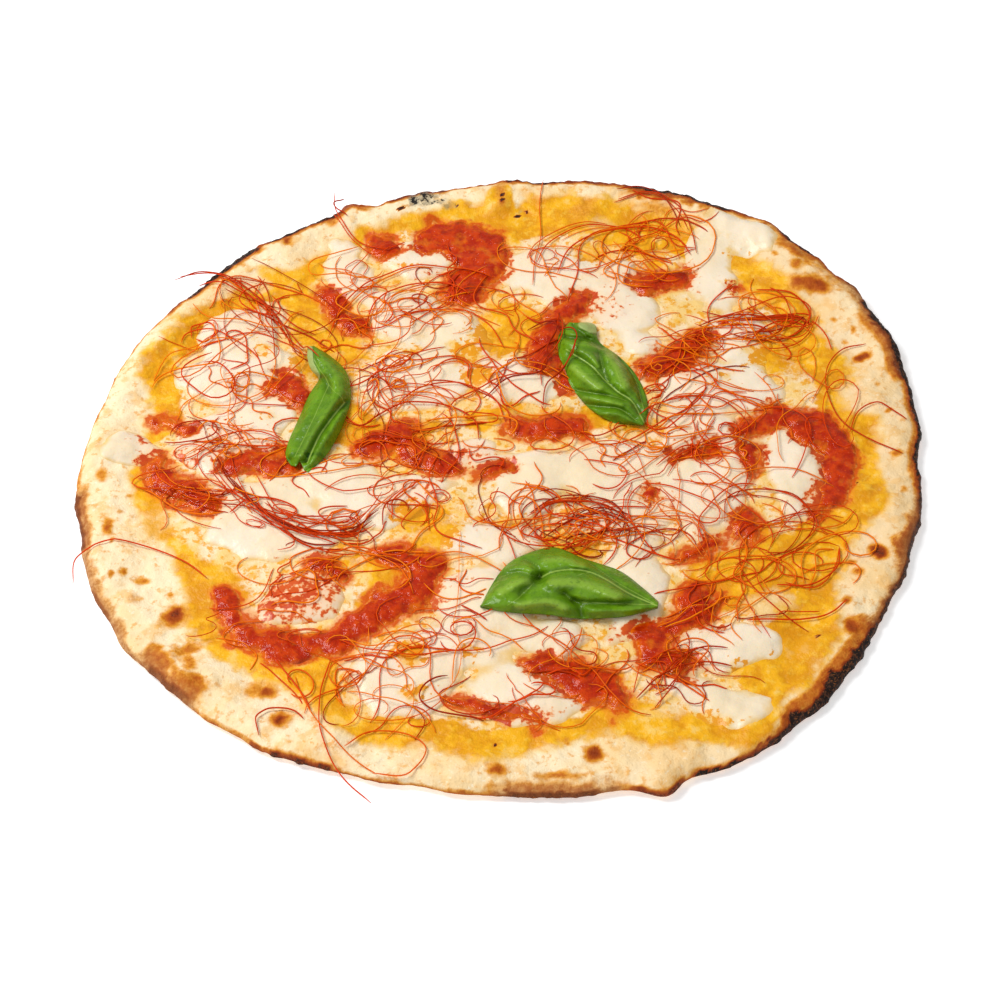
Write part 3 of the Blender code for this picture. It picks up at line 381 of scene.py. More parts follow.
# Single threads that stand out: points along each, how dark, and how many lie beside it
STRANDS = (
    (((-128, 93), (-117, 97), (-105, 92), (-92, 80), (-83, 65), (-78, 50)), 0.8, 1),
    (((-126, 95), (-113, 96), (-102, 88), (-90, 74), (-82, 60), (-75, 52)), 0.6, 2),
    (((-110, 93), (-98, 86), (-88, 72), (-80, 60), (-74, 50), (-68, 42)), 0.7, 2),
    (((-119, 60), (-119, 66), (-113, 68), (-110, 62), (-113, 57), (-118, 60)), 0.5, 1),
    (((-104, -6), (-96, -20), (-83, -35), (-67, -41), (-53, -39), (-44, -31)), 0.95, 4),
    (((-106, -2), (-100, -15), (-88, -30), (-72, -40), (-57, -42), (-46, -36)), 0.9, 4),
    (((-99, -14), (-88, -30), (-74, -40), (-60, -43), (-48, -40)), 0.85, 4),
    (((-92, -24), (-80, -36), (-66, -42), (-53, -40), (-47, -33)), 0.9, 3),
    (((-131, -16), (-120, -22), (-108, -26), (-95, -28), (-84, -33)), 0.8, 2),
    (((-152, -64), (-152, -52), (-142, -45), (-128, -46), (-114, -53), (-104, -62)), 0.5, 0),
    (((-60, -98), (-63, -114), (-62, -132), (-55, -148), (-44, -160)), 0.6, 1),
    (((-54, -137), (-46, -130), (-34, -131), (-27, -138), (-33, -148), (-46, -147)), 0.3, 0),
    (((-83, -131), (-84, -124), (-79, -120), (-72, -121), (-68, -125)), 0.7, 0),
    (((-79, -99), (-74, -106), (-69, -114), (-66, -121)), 0.5, 1),
    (((141, 47), (132, 46), (125, 36), (124, 22), (128, 8), (139, -3), (149, -11)), 0.7, 0),
    (((130, 3), (134, 12), (142, 15), (152, 6)), 0.7, 0),
    (((20, 148), (18, 132), (18, 115), (15, 98), (14, 85)), 0.3, 0),
    (((-66, 143), (-65, 131), (-58, 117), (-46, 109), (-36, 113)), 0.6, 1),
    (((-62, 139), (-66, 134), (-60, 126)), 0.8, 0),
    (((80, -40), (82, -29), (93, -25), (107, -30), (112, -42), (103, -54), (92, -55)), 0.8, 2),
    (((52, 12), (60, 20), (75, 22), (88, 16), (92, 4), (84, -8)), 0.7, 1),
    (((57, -12), (68, -3), (82, -4), (90, -14), (88, -27)), 0.6, 1),
    (((10, -34), (22, -26), (36, -28), (44, -38), (40, -50)), 0.9, 3),
    (((14, -46), (24, -38), (36, -36), (45, -42), (44, -52)), 0.9, 3),
    (((8, -40), (18, -30), (32, -30), (42, -36), (50, -46)), 0.8, 3),
    (((16, 98), (22, 112), (36, 119), (52, 118), (60, 110)), 0.5, 1),
    (((24, 92), (30, 108), (44, 116), (60, 118), (72, 112), (78, 100)), 0.5, 2),
    (((50, 133), (62, 135), (72, 128), (78, 116), (80, 100)), 0.7, 2),
    (((78, 62), (90, 66), (104, 65), (118, 64), (108, 58), (92, 55)), 0.8, 3),
    (((80, 70), (94, 64), (110, 66), (119, 62), (112, 54), (98, 52), (88, 57)), 0.8, 3),
    (((102, 80), (114, 76), (121, 68), (120, 58)), 0.6, 1),
    (((122, 62), (126, 54), (128, 46)), 0.4, 0),
    (((96, -70), (108, -70), (118, -62), (120, -52)), 0.6, 1),
    (((84, -86), (98, -86), (112, -84), (120, -78)), 0.5, 1),
    (((50, -122), (58, -112), (60, -100), (56, -88)), 0.8, 1),
    (((44, -118), (54, -108), (66, -104), (78, -106)), 0.8, 1),
    (((24, 60), (29, 57), (30, 50), (26, 40), (18, 30), (16, 18)), 0.85, 1),
    (((-15, -77), (-11, -80), (-6, -84)), 0.7, 0),
    (((-40, 20), (-30, 30), (-14, 32), (-2, 24), (2, 12)), 0.5, 1),
    (((-52, 62), (-48, 78), (-36, 88), (-20, 88), (-10, 80)), 0.5, 1),
    (((-66, 60), (-60, 78), (-48, 92), (-32, 98), (-14, 96), (0, 90)), 0.4, 1),
    (((-50, 14), (-38, 22), (-22, 22), (-10, 14), (-8, 2)), 0.7, 1),
    (((2, 52), (-4, 66), (-16, 74), (-32, 72)), 0.4, 1),
    (((11, 69), (16, 65), (24, 66), (25, 62), (24, 54), (18, 44), (16, 38), (16, 28)), 0.7, 1),
)
THREAD_RADIUS = 0.25
THREAD_SIDES = 4
THREAD_INSET = 11.0
THREAD_POINTS = 24
THREAD_SHARE = 0.40
THREAD_STRETCH = 1.55
CURL_RADIUS = 16.0
STRAND_POINTS = 36

# Main colours
DOUGH_CREAM = "#FBE5BC"
DOUGH_WARM = "#F8D69E"
DOUGH_BAKED = "#EEB560"
DOUGH_FLOUR = "#FDF1D6"
CHEESE_WHITE = "#F6E4CA"
CHEESE_CREAM = "#F2DDB9"

# Melted layers: width of the sheet they are cut from, how far past the outline faces are kept,
# how the edge dips under the dough, and the wall down to the dough
FILM_SPAN = 2 * (MEAN_RADIUS + 4)
FILM_KEPT = -1.2
FILM_DIP = 1.4
FILM_DIP_SLOPE = 0.6
FILM_WALL = 0.5
FILM_THINNEST = 0.2
FILM_SUNK = 0.05

# Gaps between the leaves, what lies under them and the threads over and under them
LEAF_CLEARANCE = 0.35
THREAD_OVER_LEAF = 0.2
THREAD_UNDER_LEAF = 0.3

# Veins: half width of the midrib and of the others, how strong the others are, and the relief
MIDRIB_HALF = 0.40
VEIN_HALF = 0.26
VEIN_SHARE = 0.75
VEIN_RELIEF = 0.10

# Grids, and the seed of the threads' routes
OUTLINE_POINTS = 132
CLOUD_CELLS = 128
THREAD_SEED = 2026
CRUST_CELLS = 300
UNDERSIDE_INSETS = (0.6, 2.0, 5.0, 9.0, 14.0, 44.0)
MOZZARELLA_CELL = 1.1
SAUCE_CELL = 0.8
MAP_CELL = 0.6
MAP_HALF = 170.0

# Camera and light
CAMERA_LENS = 85.0
CAMERA_SENSOR = 36.0
CAMERA_ELEVATION = 48.1625
CAMERA_ROLL = -1.217
CAMERA_DISTANCE = 865.608
CAMERA_AIM = (-0.7086, -17.5036, -0.6)
SKY_STRENGTH = 0.38
FLOOR_SIZE = 6.0
FLOOR_LEVEL = -0.0005
FLOOR_GLOW = 0.35

# Soft square lights that face the middle of the crust: name, place and size in m, power in W
LIGHTS = (
    ("key", (-0.75, 0.22, 1.05), 0.58, 14.0),
    ("front_fill", (0.1, -1.0, 0.9), 1.0, 3.5),
)


# Plan fields


def turn_between(angle, other):
    """Smallest turn from one angle to another, in radians."""
    return (angle - other + math.pi) % math.tau - math.pi


def edge_radius(angle):
    """Plan radius of the crust in mm at an angle in radians."""
    radius = np.full_like(angle, MEAN_RADIUS)
    for waves, height, phase in OUTLINE_WAVES:
        radius += height * np.cos(waves * angle - math.radians(phase))
    for middle, reach, spread in EDGE_NIBS:
        off = turn_between(angle, math.radians(middle)) / math.radians(spread)
        radius += reach * np.exp(-off * off)
    return radius


def edge_inset(x, y):
    """Angle of a plan point, and how far it lies inside the crust's outline in mm."""
    angle = np.arctan2(y, x)
    return angle, edge_radius(angle) - np.hypot(x, y)


def smooth(value):
    """Step from 0 to 1 with soft ends."""
    value = np.clip(value, 0.0, 1.0)
    return value * value * (3.0 - 2.0 * value)


def ripple(x, y, length, phase=0.0):
    """Soft uneven ripple between about -1 and 1, as in the CAD solid."""
    wave = math.tau / length
    total = np.sin(wave * x + 1.7 * np.sin(0.37 * wave * y + phase) + phase)
    total += np.sin(wave * (0.5 * x + 0.87 * y) + 1.3 * phase + 2.1)
    total += np.sin(wave * (0.5 * x - 0.87 * y) + 0.7 * phase + 4.4)
    return total / 3.0


def cloud(x, y, size, seed, octaves=3):
    """Seeded noise between about -1 and 1 whose blobs are a size in mm across."""
    total = np.zeros_like(x)
    weight = 1.0
    sum_weight = 0.0
    for octave in range(octaves):
        table = np.random.default_rng(seed * 17 + octave).random((CLOUD_CELLS, CLOUD_CELLS))
        turn = 0.6 + 1.9 * octave + seed
        u = (x * math.cos(turn) + y * math.sin(turn)) / size + 31.7 * seed
        v = (y * math.cos(turn) - x * math.sin(turn)) / size + 11.3 * seed
        i = np.floor(u).astype(int)
        j = np.floor(v).astype(int)
        fu = smooth(u - i)
        fv = smooth(v - j)
        i, after_i = i % CLOUD_CELLS, (i + 1) % CLOUD_CELLS
        j, after_j = j % CLOUD_CELLS, (j + 1) % CLOUD_CELLS
        low = table[i, j] * (1 - fu) + table[after_i, j] * fu
        high = table[i, after_j] * (1 - fu) + table[after_i, after_j] * fu
        total += weight * (low * (1 - fv) + high * fv - 0.5) * 2.0
        sum_weight += weight
        weight *= 0.5
        size *= 0.5
    return total / sum_weight * 1.5


def ellipse_reach(x, y, spot):
    """How far inside an ellipse a point lies, in mm; negative outside."""
    mid_x, mid_y, length, width, turn = spot[:5]
    angle = math.radians(turn)
    off_x = x - mid_x - TOPPING_OFFSET[0]
    off_y = y - mid_y - TOPPING_OFFSET[1]
    along = off_x * math.cos(angle) + off_y * math.sin(angle)
    across = off_y * math.cos(angle) - off_x * math.sin(angle)
    return (1.0 - np.hypot(along / length, across / width)) * min(length, width)


def line_gap(x, y, points, offset=TOPPING_OFFSET):
    """Distance in mm to a run of points, each with an optional half width taken off."""
    nearest = np.full_like(x, 1e9)
    spots = [(point[0] + offset[0], point[1] + offset[1], *point[2:]) for point in points]
    for start, end in zip(spots, spots[1:] or spots):
        run_x = end[0] - start[0]
        run_y = end[1] - start[1]
        length = max(run_x * run_x + run_y * run_y, 1e-9)
        share = np.clip(((x - start[0]) * run_x + (y - start[1]) * run_y) / length, 0.0, 1.0)
        gap = np.hypot(x - start[0] - share * run_x, y - start[1] - share * run_y)
        if len(start) > 2:
            gap = gap - (start[2] + (end[2] - start[2]) * share)
        nearest = np.minimum(nearest, gap)
    return nearest


def warped(x, y, amount, size, seed):
    """Plan points pushed about by noise, so that outlines wander."""
    return x + amount * cloud(x, y, size, seed), y + amount * cloud(x, y, size, seed + 1)


def sauce_reach(x, y):
    """How far inside the tomato sauce a point lies, in mm."""
    wx, wy = warped(x, y, 1.6, 9.0, 3)
    best = np.full_like(x, -1e9)
    for run in SAUCE:
        best = np.maximum(best, -line_gap(wx, wy, run))
    inset = edge_inset(x, y)[1]
    reach = best + 0.5 * ripple(x, y, 15.0, 5.0) + 2.3 * cloud(x, y, 6.0, 5, 2)
    return np.minimum(reach, inset - FILM_MARGIN)


def mozzarella_reach(x, y, sauce):
    """How far inside the melted mozzarella a point lies, in mm."""
    wx, wy = warped(x, y, 2.4, 14.0, 7)
    total = np.zeros_like(x)
    for spot in MOZZARELLA:
        total += np.exp(ellipse_reach(wx, wy, spot) / MOZZARELLA_MEET * 2.0)
    reach = MOZZARELLA_MEET / 2.0 * np.log(np.maximum(total, 1e-12))
    reach += 0.8 * ripple(x, y, 23.0, 3.0) + 1.1 * cloud(x, y, 6.0, 9, 2)
    inset = edge_inset(x, y)[1]
    return np.minimum(np.minimum(reach, inset - FILM_MARGIN), 0.9 - sauce)


def rim_lift(angle, inset):
    """How far the rim has bent up, in mm."""
    off = turn_between(angle, math.radians(LIFT_ANGLE)) / math.radians(LIFT_SPREAD)
    return LIFT_HEIGHT * np.exp(-off * off) * smooth(1.0 - inset / LIFT_REACH)


def dough_top(x, y):
    """Height of the dough's top in mm, with its baked bumps."""
    angle, inset = edge_inset(x, y)
    middle = MID_THICKNESS + 0.35 * ripple(x, y, 41.0) + 0.2 * ripple(x, y, 19.0, 2.0)
    crown = RIM_CROWN + 0.9 * np.sin(angle) + 0.8 * ripple(x, y, 47.0, 1.0)
    short = np.clip((RIM_CROWN_INSET - inset) / RIM_CROWN_INSET, 0.0, 1.0)
    outer = EDGE_HEIGHT + (crown - EDGE_HEIGHT) * np.sqrt(1.0 - short * short)
    fall = smooth((inset - RIM_CROWN_INSET) / (RIM_WIDTH - RIM_CROWN_INSET))
    height = np.where(inset < RIM_CROWN_INSET, outer, crown + (middle - crown) * fall)
    for bump_x, bump_y, radius, rise in BLISTERS:
        off = np.hypot(x - bump_x, y - bump_y) / radius
        height += rise * np.exp(-1.6 * off * off) * smooth(inset / 4.0)
    rim = smooth(1.3 - inset / 26.0)
    height += (0.25 + 0.75 * rim) * cloud(x, y, 12.0, 21) * smooth(inset / 3.0)
    height += (0.10 + 0.24 * rim) * cloud(x, y, 3.6, 23, 2) * smooth(inset / 2.0 + 0.3)
    return height + rim_lift(angle, inset)


def dough_bottom(x, y):
    """Height of the dough's underside in mm."""
    angle, inset = edge_inset(x, y)
    curl = np.clip(1.0 - inset / UNDERSIDE_CURL, 0.0, 1.0)
    return 1.1 * curl * curl + rim_lift(angle, inset)


def mozzarella_rise(x, y, reach):
    """Height of the mozzarella over the dough; its edge dips under the dough."""
    swell = 1.0 - np.exp(-np.maximum(reach, 0.0) / 3.6)
    bumps = 0.24 * ripple(x, y, 31.0, 4.0) + 0.14 * cloud(x, y, 11.0, 31)
    rise = swell * (MOZZARELLA_DEPTH * (0.85 + bumps) + 0.14 * cloud(x, y, 5.0, 33, 2))
    return np.where(reach > 0.0, rise, np.maximum(reach * FILM_DIP_SLOPE, -FILM_DIP))


def sauce_rise(x, y, reach):
    """Height of the sauce over the dough: wet, lumpy and wrinkled."""
    swell = 1.0 - np.exp(-np.maximum(reach, 0.0) / 3.0)
    lumps = 0.50 * cloud(x, y, 6.0, 41) + 0.22 * np.abs(cloud(x, y, 3.0, 43, 2))
    rise = swell * (SAUCE_DEPTH + 0.1 + lumps)
    return np.where(reach > 0.0, rise, np.maximum(reach * FILM_DIP_SLOPE, -FILM_DIP))


def outline_middle():
    """Middle of the crust's plan box, which is the frame's origin."""
    angle = np.arange(OUTLINE_POINTS) * math.tau / OUTLINE_POINTS
    x = edge_radius(angle) * np.cos(angle)
    y = edge_radius(angle) * np.sin(angle)
    return (x.min() + x.max()) / 2, (y.min() + y.max()) / 2


MIDDLE = outline_middle()


def height_map():
    """Height of the highest of dough, cheese and sauce over the whole plan, in mm."""
    axis = np.arange(-MAP_HALF, MAP_HALF, MAP_CELL)
    x, y = np.meshgrid(axis, axis, indexing="ij")
    angle, inset = edge_inset(x, y)
    pull = np.where(inset < 2.5, 1.0 - (2.5 - inset) / np.maximum(np.hypot(x, y), 1.0), 1.0)
    x_in = x * pull
    y_in = y * pull
    dough = dough_top(x_in, y_in)
    sauce = sauce_reach(x_in, y_in)
    cheese = mozzarella_reach(x_in, y_in, sauce)
    top = np.maximum(mozzarella_rise(x_in, y_in, cheese), sauce_rise(x_in, y_in, sauce))
    return dough + np.maximum(top, 0.0)


TOP_MAP = height_map()


def top_at(x, y):
    """Height of what lies on top at plan points, in mm."""
    u = np.clip((x + MAP_HALF) / MAP_CELL, 0, TOP_MAP.shape[0] - 2)
    v = np.clip((y + MAP_HALF) / MAP_CELL, 0, TOP_MAP.shape[1] - 2)
    i = u.astype(int)
    j = v.astype(int)
    fu = u - i
    fv = v - j
    low = TOP_MAP[i, j] * (1 - fu) + TOP_MAP[i + 1, j] * fu
    high = TOP_MAP[i, j + 1] * (1 - fu) + TOP_MAP[i + 1, j + 1] * fu
    return low * (1 - fv) + high * fv


# Mesh helpers


def deselect_all():
    """Leaves object mode's selection empty."""
    if bpy.context.object and bpy.context.object.mode != "OBJECT":
        bpy.ops.object.mode_set(mode="OBJECT")
    bpy.ops.object.select_all(action="DESELECT")


def select_only(piece):
    deselect_all()
    bpy.context.view_layer.objects.active = piece
    piece.select_set(True)


def new_grid(name, columns, rows, width, depth):
    """A flat grid of cells, centred on the plan, in mm."""
    deselect_all()
    bpy.ops.mesh.primitive_grid_add(x_subdivisions=columns, y_subdivisions=rows, size=1.0)
    piece = bpy.context.object
    piece.name = name
    piece.data.name = name
    points = read_points(piece)
    points[:, 0] *= width
    points[:, 1] *= depth
    write_points(piece, points)
    return piece


def read_points(piece):
    points = np.empty(len(piece.data.vertices) * 3)
    piece.data.vertices.foreach_get("co", points)
    return points.reshape(-1, 3)


def write_points(piece, points):
    piece.data.vertices.foreach_set("co", np.ascontiguousarray(points).ravel())
    piece.data.update()


def to_metres(piece):
    """Moves a mesh from plan mm to the frame's metres."""
    points = read_points(piece)
    points[:, 0] -= MIDDLE[0]
    points[:, 1] -= MIDDLE[1]
    write_points(piece, points * MM)


def store(piece, **numbers):
    """Stores named numbers, one for each point, for the materials."""
    for name, values in numbers.items():
        layer = piece.data.attributes.new(name, "FLOAT", "POINT")
        layer.data.foreach_set("value", np.ascontiguousarray(values, dtype=np.float32))


def keep_faces(piece, wanted):
    """Deletes the faces that have no wanted corner."""
    mesh = piece.data
    corners = np.empty(len(mesh.loops), int)
    mesh.loops.foreach_get("vertex_index", corners)
    keep = wanted[corners].reshape(-1, 4).any(axis=1)
    select_only(piece)
    mesh.vertices.foreach_set("select", np.zeros(len(mesh.vertices), bool))
    mesh.edges.foreach_set("select", np.zeros(len(mesh.edges), bool))
    mesh.polygons.foreach_set("select", ~keep)
    bpy.ops.object.mode_set(mode="EDIT")
    bpy.ops.mesh.select_mode(type="FACE")
    bpy.ops.mesh.delete(type="FACE")
    bpy.ops.object.mode_set(mode="OBJECT")


def thicken(piece, thickness):
    """Gives a sheet its wall, below the modelled side."""
    select_only(piece)
    wall = piece.modifiers.new("wall", "SOLIDIFY")
    wall.thickness = thickness
    wall.offset = -1.0
    bpy.ops.object.modifier_apply(modifier=wall.name)


def settle(piece):
    """Moves a finished mesh to the frame's metres and shades it smooth."""
    to_metres(piece)
    select_only(piece)
    bpy.ops.object.shade_smooth()
    return piece


def finish_piece(piece, material, slot, *nodes):
    """Material, body and the hidden CAD nodes that a piece stands for; the slot is not used."""
    piece.data.materials.clear()
    piece.data.materials.append(material)
    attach(piece, "root")
    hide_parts(*nodes)


def nodes_named(start):
    return sorted(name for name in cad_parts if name.startswith(start))


# Material helpers


def linear(colour):
    """An sRGB hex colour as linear red, green, blue and alpha."""
    parts = [int(colour[place:place + 2], 16) / 255 for place in (1, 3, 5)]
    return [p / 12.92 if p <= 0.04045 else ((p + 0.055) / 1.055) ** 2.4 for p in parts] + [1.0]


SHADER_INPUTS = {
    "rough": "Roughness",
    "shine": "Specular IOR Level",
    "glow": "Emission Color",
    "glow_strength": "Emission Strength",
    "depth": "Subsurface Weight",
    "depth_radius": "Subsurface Radius",
    "depth_scale": "Subsurface Scale",
}


class Look:
    """A material under construction. Its grains are noise, each given by the size of its blobs
    in mm, its detail and its roughness."""

    def __init__(self, name, **grains):
        self.material = bpy.data.materials.new(name)
        self.material.use_nodes = True
        self.tree = self.material.node_tree
        self.shader = self.tree.nodes["Principled BSDF"]
        self.values = {}
        for key, (size_mm, detail, rough) in grains.items():
            place = self.node("TexCoord", {}).outputs["Object"]
            self.values[key] = self.node("TexNoise", {}, {
                "Vector": place, "Scale": 1.0 / (size_mm * MM), "Detail": detail,
                "Roughness": rough}).outputs["Fac"]

    def plug(self, socket, value):
        """Sets an input from another node's socket, a hex colour or a plain value."""
        if isinstance(value, bpy.types.NodeSocket):
            self.tree.links.new(value, socket)
        else:
            socket.default_value = linear(value) if isinstance(value, str) else value

    def node(self, kind, settings, inputs=None):
        """One node: its settings, then its inputs by name or number."""
        node = self.tree.nodes.new("ShaderNode" + kind)
        for name, value in settings.items():
            setattr(node, name, value)
        for key, value in (inputs or {}).items():
            self.plug(node.inputs[key], value)
        return node

    def value(self, name):
        """A grain by its name, or else a number of that name that is stored on the mesh."""
        if name not in self.values:
            self.values[name] = self.node("Attribute", {"attribute_name": name}).outputs["Fac"]
        return self.values[name]

    def mask(self, name, low, high, most=1.0, least=0.0, ragged=None):
        """A value cut to a soft step between two levels; its border may first be broken up by a
        grain, given with its amount."""
        value = self.value(name)
        if ragged:
            grain, amount = ragged
            push = self.node(
                "Math", {"operation": "MULTIPLY_ADD"},
                {0: self.value(grain), 1: amount, 2: -amount / 2}).outputs[0]
            value = self.node("Math", {"operation": "ADD"}, {0: value, 1: push}).outputs[0]
        return self.node("MapRange", {"interpolation_type": "SMOOTHSTEP"}, {
            "Value": value, "From Min": low, "From Max": high,
            "To Min": least, "To Max": most}).outputs[0]

    def paint(self, colour, *layers):
        """Lays further colours over the first, each through its mask."""
        for mask, over in layers:
            sockets = {0: mask, 6: colour, 7: over}
            colour = self.node("Mix", {"data_type": "RGBA"}, sockets).outputs[2]
        return colour

    def finish(self, colour, relief=(), **values):
        """Joins the colour and the relief, rows of height, depth in mm and strength, to the
        shader, and sets its other inputs."""
        self.plug(self.shader.inputs["Base Color"], colour)
        normal = None
        for height, depth_mm, strength in relief:
            bump = self.node("Bump", {}, {
                "Height": height, "Distance": depth_mm * MM, "Strength": strength})
            if normal is not None:
                self.plug(bump.inputs["Normal"], normal)
            normal = bump.outputs["Normal"]
        if normal is not None:
            self.plug(self.shader.inputs["Normal"], normal)
        for name, value in values.items():
            self.plug(self.shader.inputs[SHADER_INPUTS[name]], value)
        return self.material


# Materials


def make_dough_look():
    """Baked wheat dough: floury cream, soaked with amber oil inside the rim, toasted golden and
    brown in spots, charred black and crumbly at the edge."""
    look = Look(
        "baked_wheat_dough", wide=(26.0, 3.0, 0.55), mid=(7.0, 4.0, 0.55), small=(3.0, 4.0, 0.6),
        fine=(1.6, 4.0, 0.65), grit=(0.7, 2.0, 0.55))
    node, value, mask, paint = look.node, look.value, look.mask, look.paint
    # Oil soaked into the dough, with mottling of its own, and thin cheese over it
    blotch = node("Math", {"operation": "MULTIPLY"}, {0: value("small"), 1: 0.4})
    look.values["mottle"] = node("Math", {"operation": "MULTIPLY_ADD"}, {
        0: value("mid"), 1: 0.6, 2: blotch.outputs[0]}).outputs[0]
    soaked = mask("oil", 0.16, 0.84, ragged=("mottle", 1.9))
    amber = paint(
        "#E0960C", (mask("mid", 0.38, 0.60), "#F5B418"), (mask("small", 0.52, 0.68, 0.6), "#F8C848"),
        (mask("mid", 0.58, 0.70, 0.5), "#FADA88"), (mask("wide", 0.52, 0.64, 0.55), "#D98A06"))
    milk = paint(
        "#FAE6BE", (mask("mid", 0.36, 0.60), "#F4CF84"), (mask("small", 0.51, 0.62, 0.9), "#ECA010"))
    # Toasting, from golden to charred; the outer wall is floury
    outer = value("outer")
    golden = paint("#E8A030", (mask("fine", 0.42, 0.62), "#D58614"))
    floury = paint("#DDAE74", (mask("fine", 0.42, 0.62), "#B97F46"))
    char = paint("#1C100B", (mask("fine", 0.50, 0.64), "#54301C"))
    underside = paint(
        "#E6C793", (mask("mid", 0.45, 0.68), "#B9793E"), (mask("wide", 0.56, 0.72), "#6B3E1E"))
    crumbs = node("Math", {"operation": "MULTIPLY"}, {
        0: mask("grit", 0.58, 0.68), 1: mask("toast", 0.5, 0.8, 0.6)}).outputs[0]
    colour = paint(
        DOUGH_CREAM,
        (mask("wide", 0.38, 0.62), DOUGH_WARM),
        (mask("mid", 0.52, 0.66, 0.55), DOUGH_BAKED),
        (mask("fine", 0.30, 0.44, 0.0, 0.7), DOUGH_FLOUR),
        (mask("small", 0.55, 0.68, 0.65), "#E59C38"),
        # painted shade and baking: darker tan towards the right side, where the light falls off
        (mask("bake", 0.3, 1.3, 0.42), "#E8BC7C"),
        (mask("oil", 0.02, 0.50, 0.5), "#F3C76E"),
        (soaked, amber),
        (mask("milk", 0.30, 0.80, 0.9, ragged=("small", 1.8)), milk),
        (mask("stain", 0.10, 0.60, 0.6), "#E88A1C"),
        (mask("stain", 0.50, 0.95, 0.9, ragged=("small", 1.8)), "#D04E02"),
        (mask("toast", 0.04, 0.42, ragged=("small", 0.40)), paint(golden, (outer, floury))),
        (mask("toast", 0.32, 0.60, ragged=("small", 0.34)), paint("#B65404", (outer, "#A0602E"))),
        (mask("toast", 0.50, 0.78, ragged=("small", 0.38)), paint("#8A3000", (outer, "#763C18"))),
        (mask("toast", 0.72, 0.92, ragged=("fine", 0.50)), char),
        (crumbs, "#A4622E"),
        (mask("ash", 0.30, 0.85, 0.7, ragged=("small", 1.4)), "#8F846C"),
        (mask("ash", 0.75, 1.00, ragged=("fine", 2.6)), "#24211C"),
        (value("under"), underside))
    crumbly = node("Math", {"operation": "MULTIPLY"}, {
        0: value("grit"), 1: mask("toast", 0.3, 0.8, 1.0, 0.3)}).outputs[0]
    wet = node("Math", {"operation": "MULTIPLY_ADD"}, {0: soaked, 1: -0.34, 2: 0.68}).outputs[0]
    relief = (
        (value("mid"), 1.2, 0.8), (value("small"), 0.6, 0.8), (value("fine"), 0.2, 0.8),
        (crumbly, 0.5, 0.9))
    return look.finish(colour, relief, rough=wet, shine=0.2)


def make_mozzarella_look():
    """Melted mozzarella: warm white, smooth and slightly wet, with amber oil on it, thin amber
    edges and orange-red specks where sauce shows through."""
    look = Look(
        "melted_mozzarella", wide=(20.0, 3.0, 0.55), mid=(6.0, 4.0, 0.55), small=(2.6, 4.0, 0.55),
        drops=(3.6, 1.0, 0.55))
    mask, paint = look.mask, look.paint
    drop = look.node("Math", {"operation": "MULTIPLY"}, {
        0: mask("drops", 0.76, 0.80), 1: mask("stain", 0.0, 0.25, 1.0, 0.15)}).outputs[0]
    colour = paint(
        CHEESE_WHITE,
        (mask("wide", 0.36, 0.66), CHEESE_CREAM),
        (mask("mid", 0.56, 0.72, 0.5), "#F0D8AC"),
        (mask("thin", 0.40, 1.05, 0.8, ragged=("mid", 0.9)), "#F0BE64"),
        (mask("stain", 0.10, 0.90, 0.65), "#EEB486"),
        (mask("oil", 0.42, 0.95, 0.85, ragged=("mid", 1.4)), "#F2BC44"),
        (mask("oil", 0.62, 0.80, 0.95, ragged=("small", 2.2)), "#E89804"),
        (mask("stain", 0.44, 0.68, 0.75, ragged=("small", 2.4)), "#E68A34"),
        (mask("stain", 0.62, 0.76, 0.92, ragged=("small", 2.4)),
         paint("#D24E04", (mask("mid", 0.40, 0.60), "#C23400"))),
        (drop, "#E8860E"))
    relief = ((look.value("mid"), 0.7, 0.7), (look.value("small"), 0.3, 0.6))
    return look.finish(
        colour, relief, rough=0.30, shine=0.28, depth=0.15, depth_radius=(1.0, 0.7, 0.4),
        depth_scale=0.002)


def make_sauce_look():
    """Cooked tomato sauce: wet orange-red pulp, orange where it is thin or oily, with painted shade in
    dark red patches that stand for its folds."""
    # The folds grain places the painted shade of the sauce
    look = Look(
        "cooked_tomato_sauce", wide=(9.0, 3.0, 0.55), mid=(4.0, 4.0, 0.55), fine=(1.5, 4.0, 0.6),
        folds=(7.0, 3.0, 0.55))
    mask = look.mask
    colour = look.paint(
        "#B02400",
        (mask("mid", 0.38, 0.62), "#CC3C00"),
        (mask("fine", 0.56, 0.72, 0.6), "#DC5C0C"),
        (mask("wide", 0.56, 0.72, 0.75), "#DB6C08"),
        (mask("thin", 0.30, 0.85, 0.8, ragged=("mid", 1.4)), "#DC6804"),
        (mask("thin", 0.85, 1.05, 0.45, ragged=("fine", 2.4)), "#F0A850"),
        # painted shade: dark red noise patches for shade in the sauce's folds
        (mask("folds", 0.55, 0.70, 0.7), "#921C00"))
    relief = ((look.value("mid"), 1.6, 0.8), (look.value("fine"), 0.22, 0.6))
    return look.finish(colour, relief, rough=0.12, shine=0.24)


